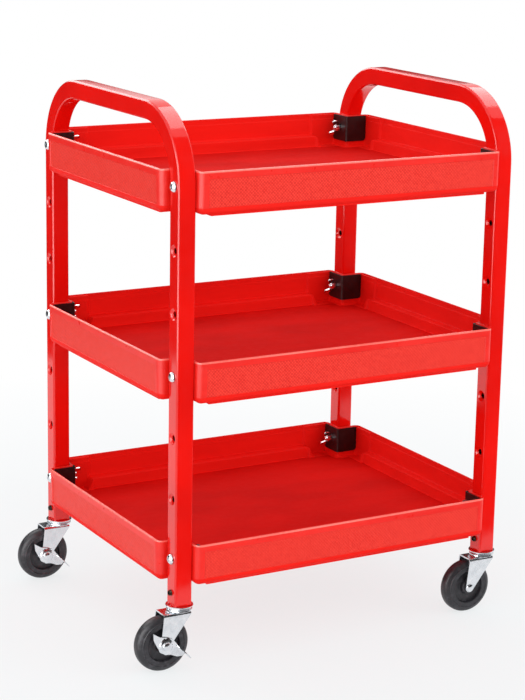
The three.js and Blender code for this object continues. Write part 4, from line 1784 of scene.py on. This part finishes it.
    def fork(self, braked: bool) -> Thing:
        """The fork with its half of the ball race and its riveted axle.

        Args:
            braked: whether the axle also carries a lever on its front end.

        Returns:
            The fork about its swivel axis.
        """
        race, low = self.race / 2, self.under + 0.6
        top, crown = self.crown + self.race_height, self.crown
        pin = self.kingpin / 2 + self.gap
        cup = [
            (pin, low), (race - 4.0, low), (race - 2.6, crown), (race - 0.2, crown + 0.5),
            (race, crown + 0.9), (race - 0.3, top - 0.5), (race - 0.9, top - 0.05),
            (race - 2.4, top), (pin, top),
        ]
        r, far = self.axle / 2, self.fork_outside
        near = -far
        if braked:
            near = -(far + (self.lever_thickness + self.boss_rise + 2 * self.gap))
        spindle = [
            (0, near - 2.0), (r * 0.5, near - 1.95), (r * 0.85, near - 1.6),
            (r + 1.2, near - 1.1), (r + 1.6, near - 0.5), (r + 1.5, near), (r, near), (r, far),
            (r + 2.2, far), (r + 2.2, far + 0.8), (r + 1.2, far + 0.9), (r + 0.8, far + 1.5),
            (r * 0.6, far + 1.8), (0, far + 1.8),
        ]
        return joined(
            self.fork_sheet(),
            Skin().lathe(cup, 64).piece("fork_cup", [ZINC], TURNED_CREASE),
            Skin().lathe(spindle, 40, self.on_axle).piece("fork_axle", [ZINC], TURNED_CREASE),
        )

    def wheel_piece(self) -> Thing:
        """The wheel: a rounded tread, raised side rings, a sunk web and a hub with its bush.

        Returns:
            The wheel about its caster's swivel axis.
        """
        outer, half, bore = self.wheel / 2, self.wheel_width / 2, self.axle / 2 + self.gap
        radii_and_drops = [
            (bore, 0.5), (bore + 0.4, 0.1), (8.6, 0.1), (9.6, 0.4), (10.2, 1.4), (10.8, 6.0),
            (11.8, 6.8), (16.0, 6.8), (21.0, 6.4), (22.6, 5.8), (23.1, 4.8), (23.4, 1.1),
            (23.9, 0.7), (24.8, 0.6), (29.6, 0.8), (30.0, 0.3), (30.5, 0.1), (31.1, 0.2),
            (31.6, 1.1), (33.4, 1.8), (35.2, 2.7), (36.8, 4.1), (37.7, 6.2), (outer, 8.4),
        ]
        side = [(r, half - drop) for r, drop in radii_and_drops]
        profile = [(r, -z) for r, z in side] + side[::-1]
        wheel = Skin().lathe(profile, 96, self.on_axle)
        return wheel.piece("caster_wheel", [TYRE], WHEEL_CREASE)

    def set_screw(self) -> Thing:
        """The socket set screw that pins the stem, along X with its leg's axis at the origin.

        Returns:
            The screw, with its socket and thread.
        """
        radius, key, pitch, proud = 3.9, 2.2, 1.0, 3.6
        start, end = -self.tube_bore / 2, -12.7 - proud
        core = radius - THREAD_DEPTH * pitch
        steps = 48
        angles = [FULL_TURN * k / steps for k in range(steps)]

        def circle(r: float, x: float) -> list[Vector]:
            """A round section at a place along X."""
            return [Vector((x, r * math.cos(a), r * math.sin(a))) for a in angles]

        def hexagon(apothem: float, x: float) -> list[Vector]:
            """A six-sided section with as many points as a round one.

            Args:
                apothem: from its middle to its flats.
                x: the place along X.

            Returns:
                The section's points.
            """
            ring = []
            for a in angles:
                reach = apothem / math.cos((a % (math.pi / 3)) - math.pi / 6)
                ring.append(Vector((x, reach * math.cos(a), reach * math.sin(a))))
            return ring

        rings = [
            circle(core - 0.3, start), circle(core, start - 0.3), circle(core, end + 0.9),
            circle(core - 0.1, end + 0.3), circle(core - 0.6, end), hexagon(key + 0.15, end),
            hexagon(key, end + 0.25), hexagon(key, end + 3.2),
        ]
        winding = Skin()
        thread(winding, radius, pitch, -end - 5.2, -end - 0.2, 28)
        wound = winding.piece("set_screw_thread", [OXIDE])
        wound.data.transform(AGAINST_X)
        return joined(lofted("set_screw", rings, OXIDE), wound)

    def build(self, corner: Corner, masters: dict[str, Thing]) -> None:
        """Puts one caster's pieces under its leg.

        Args:
            corner: the leg.
            masters: each piece about its swivel axis.
        """
        place = Matrix.Translation(corner.axis)
        braked = corner.side is Side.LEFT
        name = corner.name
        fork = masters["braked_fork" if braked else "fork"]
        screw = Matrix.Translation((0, 0, middle(f"set_screw_{name}").z)) @ place
        put(masters["stem"], f"stem_{name}", f"caster_stem_{name}", "cart", "zinc", place)
        put(fork, f"fork_{name}", f"caster_fork_{name}", f"caster_{name}", "zinc", place)
        wheel = (f"wheel_{name}_moulding", f"caster_wheel_{name}", f"wheel_{name}", "wheel")
        put(masters["wheel"], *wheel, place)
        put(masters["screw"], f"screw_{name}", f"set_screw_{name}", "cart", "black_oxide", screw)
        if braked:
            lever = (f"lever_{name}_plate", f"brake_lever_{name}", f"lever_{name}", "zinc")
            put(masters["lever"], *lever, place)


@dataclass
class BrakeLever:
    """A stamped lever on the end of the axle: a pointed wing, a raised boss and a foot pedal."""

    axle: Point2 = (-27.0, 38.0)
    face: float = 13.9
    thickness: float = 1.8
    boss: float = 7.6
    boss_slope: float = 2.4
    boss_rise: float = 1.5
    fold_way: Point2 = (0.74, -0.67)
    fold_at: float = 12.0
    pedal_slope: float = 0.16
    wing_slope: float = 0.1

    def outline(self) -> Outline:
        """The plate's outline about the axle, seen from the front: X to the right and Z up.

        Returns:
            The rounded outline.
        """
        corners = [
            (-19.8, 21.6, 0.9), (-18.8, 11.6, 9), (-13.2, 1.4, 10), (-8.6, -5.8, 8),
            (-1.2, -11.2, 9), (7.4, -12.8, 12), (15.5, -16.2, 8), (23.4, -16.2, 2.2),
            (26.2, -12.4, 1.2), (18.2, -1.6, 14), (10.0, 8.6, 9), (-0.6, 12.6, 9),
            (-9.2, 14.6, 8),
        ]
        return fillet(corners, closed=True)

    def height(self, x: float, z: float) -> float:
        """How far the plate's face stands out: its boss and its two folds.

        Args:
            x: to the right of the axle.
            z: above the axle.

        Returns:
            The height of the face.
        """
        reach = math.hypot(x, z)
        rise = self.boss_rise * eased((self.boss + self.boss_slope - reach) / self.boss_slope)
        along = x * self.fold_way[0] + z * self.fold_way[1]
        fold = max(0.0, along - self.fold_at) * self.pedal_slope
        wing = max(0.0, -along - self.fold_at) * self.wing_slope
        return rise + fold + wing

    def plate(self) -> Thing:
        """The plate, dished and folded, with rounded edges.

        Returns:
            The plate about the axle.
        """
        mesh = bpy.data.meshes.new("lever_plate")
        form = bmesh.new()
        form.faces.new([form.verts.new((x, 0, z)) for x, z in self.outline()])
        bmesh.ops.triangulate(form, faces=form.faces[:])
        for _ in range(3):
            bmesh.ops.subdivide_edges(form, edges=form.edges[:], cuts=1, use_grid_fill=True)
        bmesh.ops.beautify_fill(form, faces=form.faces[:], edges=form.edges[:])
        for point in form.verts:
            point.co.y = -self.height(point.co.x, point.co.z)
        for face in form.faces:
            face.normal_update()
            if face.normal.y > 0:
                face.normal_flip()
        form.to_mesh(mesh)
        form.free()
        mesh.transform(Matrix.Scale(MM, 4))
        mesh.materials.append(ZINC.material())
        plate = new_object("brake_lever", mesh)
        sheet = plate.modifiers.new("sheet", "SOLIDIFY")
        sheet.thickness = self.thickness * MM
        sheet.offset = 1.0
        return settle(plate)

    def pedal(self) -> Thing:
        """The tab folded out of the plate's upper edge for the foot.

        Returns:
            The pedal about the axle.
        """
        start, way, side = Vector((15.8, -1.4)), Vector((0.68, -0.733)), Vector((0.733, 0.68))
        corners = [
            (0.0, -1.4), (0.6, 6.5, 3), (13.0, 12.5, 5), (27.5, 12.0, 4), (22.5, 2.0, 5),
            (14.2, -1.4),
        ]
        rings = []
        for sheet in (0.0, self.thickness * 0.8):
            ring = []
            for s, t in fillet(corners, closed=True, steps=6):
                bow = 0.25 * (1 - math.cos(held(t / 8) * QUARTER_TURN)) * t
                flat = start + way * s + side * (sheet - 0.6 + bow * 0.15)
                ring.append((flat.x, -t, flat.y))
            rings.append(ring)
        return soften(lofted("lever_pedal", rings, ZINC), 0.35)

    def piece(self) -> Thing:
        """The lever about its caster's swivel axis.

        Returns:
            The lever, plate and pedal in one.
        """
        lever = joined(self.plate(), self.pedal())
        place = Vector((self.axle[0], -self.face, self.axle[1])) * MM
        lever.data.transform(Matrix.Translation(place))
        return lever


# ---- Studio --------------------------------------------------------------------------------


@dataclass(frozen=True)
class Panel:
    """A flat thing of the studio that stands at a place and faces another, all in metres."""

    name: str
    place: Point3
    size: Point2
    toward: Point3 = (0.0, 0.0, 0.5)

    def stand(self, data: bpy.types.ID) -> Thing:
        """Adds the object with its lamp or mesh, turned to face its aim.

        Args:
            data: the lamp or the mesh.

        Returns:
            The new object.
        """
        thing = new_object(self.name, data)
        thing.location = self.place
        aim = Vector(self.toward) - Vector(self.place)
        thing.rotation_euler = aim.to_track_quat("-Z", "Y").to_euler()
        return thing

    def sheet(self, finish: Finish) -> bpy.types.Mesh:
        """A flat mesh of the panel's size.

        Args:
            finish: of its one face.

        Returns:
            The mesh.
        """
        mesh = bpy.data.meshes.new(self.name)
        x, y = self.size[0] / 2, self.size[1] / 2
        mesh.from_pydata([(-x, -y, 0), (x, -y, 0), (x, y, 0), (-x, y, 0)], [], [(0, 1, 2, 3)])
        mesh.materials.append(finish.material())
        return mesh


@dataclass(frozen=True)
class SoftBox(Panel):
    """A lamp. A glow of 1 is that of a white surface in full light. One that does not light the
    cart is only there to be seen in gloss and metal."""

    glow: float = 1.0
    lights: bool = True

    def hang(self) -> None:
        """Hangs the lamp, which the camera does not see."""
        data = bpy.data.lights.new(self.name, "AREA")
        data.shape = "RECTANGLE"
        data.size, data.size_y = self.size
        data.energy = self.glow * math.pi * self.size[0] * self.size[1]
        thing = self.stand(data)
        thing.visible_camera = False
        thing.visible_diffuse = self.lights


@dataclass(frozen=True)
class Card(Panel):
    """A black card that shows in reflections only and gives gloss its depth."""

    def hang(self) -> None:
        """Stands the card in its place."""
        thing = self.stand(self.sheet(FELT))
        thing.visible_camera = thing.visible_diffuse = thing.visible_shadow = False


PANELS = (
    SoftBox("key soft box", (-1.6, -2.6, 2.4), (2.2, 1.8), glow=0.8),
    SoftBox("fill soft box", (2.6, -2.2, 1.9), (2.2, 1.8), glow=1.4),
    SoftBox("back soft box", (-0.9, 2.8, 2.2), (2.4, 1.6), glow=1.6),
    SoftBox("side reflector", (-1.6, -0.7, 0.7), (1.9, 1.4), glow=4.0, lights=False),
    SoftBox("rear reflector", (-0.4, 2.3, 1.8), (2.4, 1.1), glow=1.8, lights=False),
    SoftBox("overhead reflector", (1.05, 0.5, 2.3), (1.5, 1.9), glow=2.4, lights=False),
    Card("rear card", (-0.79, 1.39, 0.5), (2.6, 1.0)),
    Card("front card", (0.39, -0.48, 0.7), (1.5, 1.4), (0.39, 0.0, 0.7)),
    Card("far card", (0.63, 1.12, 0.53), (2.6, 0.75)),
)


@dataclass
class Studio:
    """Where the cart stands: a pale floor, soft lamps and the camera.

    Angles are in degrees and the camera's places in millimetres. The aim is how far to the
    right of the legs' middle, and how far up, the camera looks.
    """

    floor_size: Point2 = (60.0, 60.0)
    surround: float = 1.0
    lens: float = 105.458
    azimuth: float = -29.54
    elevation: float = 13.979
    distance: float = 2936.6
    roll: float = 1.092
    aim: Point2 = (-11.187, 364.6)

    def floor(self) -> None:
        """The floor, in near-white matt paint."""
        panel = Panel("floor", (0.0, 0.0, 0.0), self.floor_size)
        thing = new_object("floor", panel.sheet(FLOOR_PAINT))

    def world(self) -> None:
        """A white surround, which shows white however strongly it lights."""
        world = bpy.data.worlds.new("white surround")
        bpy.context.scene.world = world
        world.use_nodes = True
        tree = world.node_tree
        tree.nodes.clear()
        white = {"Color": linear("#ffffff")}
        light = add_node(tree, "Background", inputs={**white, "Strength": self.surround})
        shown = add_node(tree, "Background", inputs={**white, "Strength": 1.0})
        mix = add_node(tree, "MixShader", inputs={0: seen(tree), 1: light, 2: shown})
        add_node(tree, "OutputWorld", inputs={"Surface": mix})

    def camera(self) -> None:
        """The camera, a little above the cart and to the left of its front."""
        legs = [corner.axis for corner in CORNERS]
        foot = sum(legs, Vector((0, 0, 0))) / len(legs)
        azimuth, elevation = math.radians(self.azimuth), math.radians(self.elevation)
        right = Vector((math.cos(azimuth), math.sin(azimuth), 0))
        level = math.cos(elevation)
        y = -math.cos(azimuth) * level
        back = Vector((math.sin(azimuth) * level, y, math.sin(elevation)))
        up = back.cross(right)
        place = foot + right * self.aim[0] + Vector((0, 0, self.aim[1])) + back * self.distance
        turn = math.radians(self.roll)
        x_axis = right * math.cos(turn) + up * math.sin(turn)
        axes = Matrix((x_axis, back.cross(x_axis), back)).transposed().to_4x4()
        data = bpy.data.cameras.new("camera")
        data.lens = self.lens
        data.sensor_fit = "VERTICAL"
        data.sensor_height = 36.0
        data.clip_end = 100.0
        thing = new_object("camera", data)
        thing.matrix_world = Matrix.Translation(place * MM) @ axes
        bpy.context.scene.camera = thing

    def build(self) -> None:
        """Sets the whole studio up."""
        self.camera()
        self.floor()
        self.world()
        for panel in PANELS:
            panel.hang()
        bpy.context.scene.view_settings.view_transform = "Standard"


# ---- The cart ------------------------------------------------------------------------------


def build_fastenings() -> None:
    """Puts a bracket, a bolt and a wing nut at each corner of each tray."""
    forms = {
        "bracket": (CornerBracket().piece(), "black_steel"),
        "bolt": (Bolt().piece(), "zinc"),
        "wing_nut": (WingNut().piece(), "zinc"),
    }
    for level in Level:
        for corner in CORNERS:
            place = corner.fastening(middle(f"{level.value}_bolt_{corner.name}").z)
            for kind, (form, slot) in forms.items():
                node = f"{level.value}_{kind}_{corner.name}"
                put(form, f"{node}_form", node, "cart", slot, place)
    clear(*(form for form, _ in forms.values()))


def build_casters() -> None:
    """Puts a caster under each leg, with a brake lever on those at the left end."""
    caster = Caster()
    masters = {
        "stem": caster.stem(),
        "fork": caster.fork(braked=False),
        "braked_fork": caster.fork(braked=True),
        "wheel": caster.wheel_piece(),
        "screw": caster.set_screw(),
        "lever": BrakeLever().piece(),
    }
    for corner in CORNERS:
        caster.build(corner, masters)
    clear(*masters.values())


def write_sizes() -> None:
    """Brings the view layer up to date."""
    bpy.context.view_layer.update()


def main() -> None:
    """Builds the studio and the cart, piece by piece."""
    logging.basicConfig(level=logging.INFO, format="%(name)s: %(message)s")
    Studio().build()
    for side in Side:
        EndFrame(side).build()
    master = Tray(Level.TOP).piece()
    for level in Level:
        Tray(level).build(master)
    clear(master)
    build_fastenings()
    build_casters()
    write_sizes()


if __name__ == "__main__":
    main()
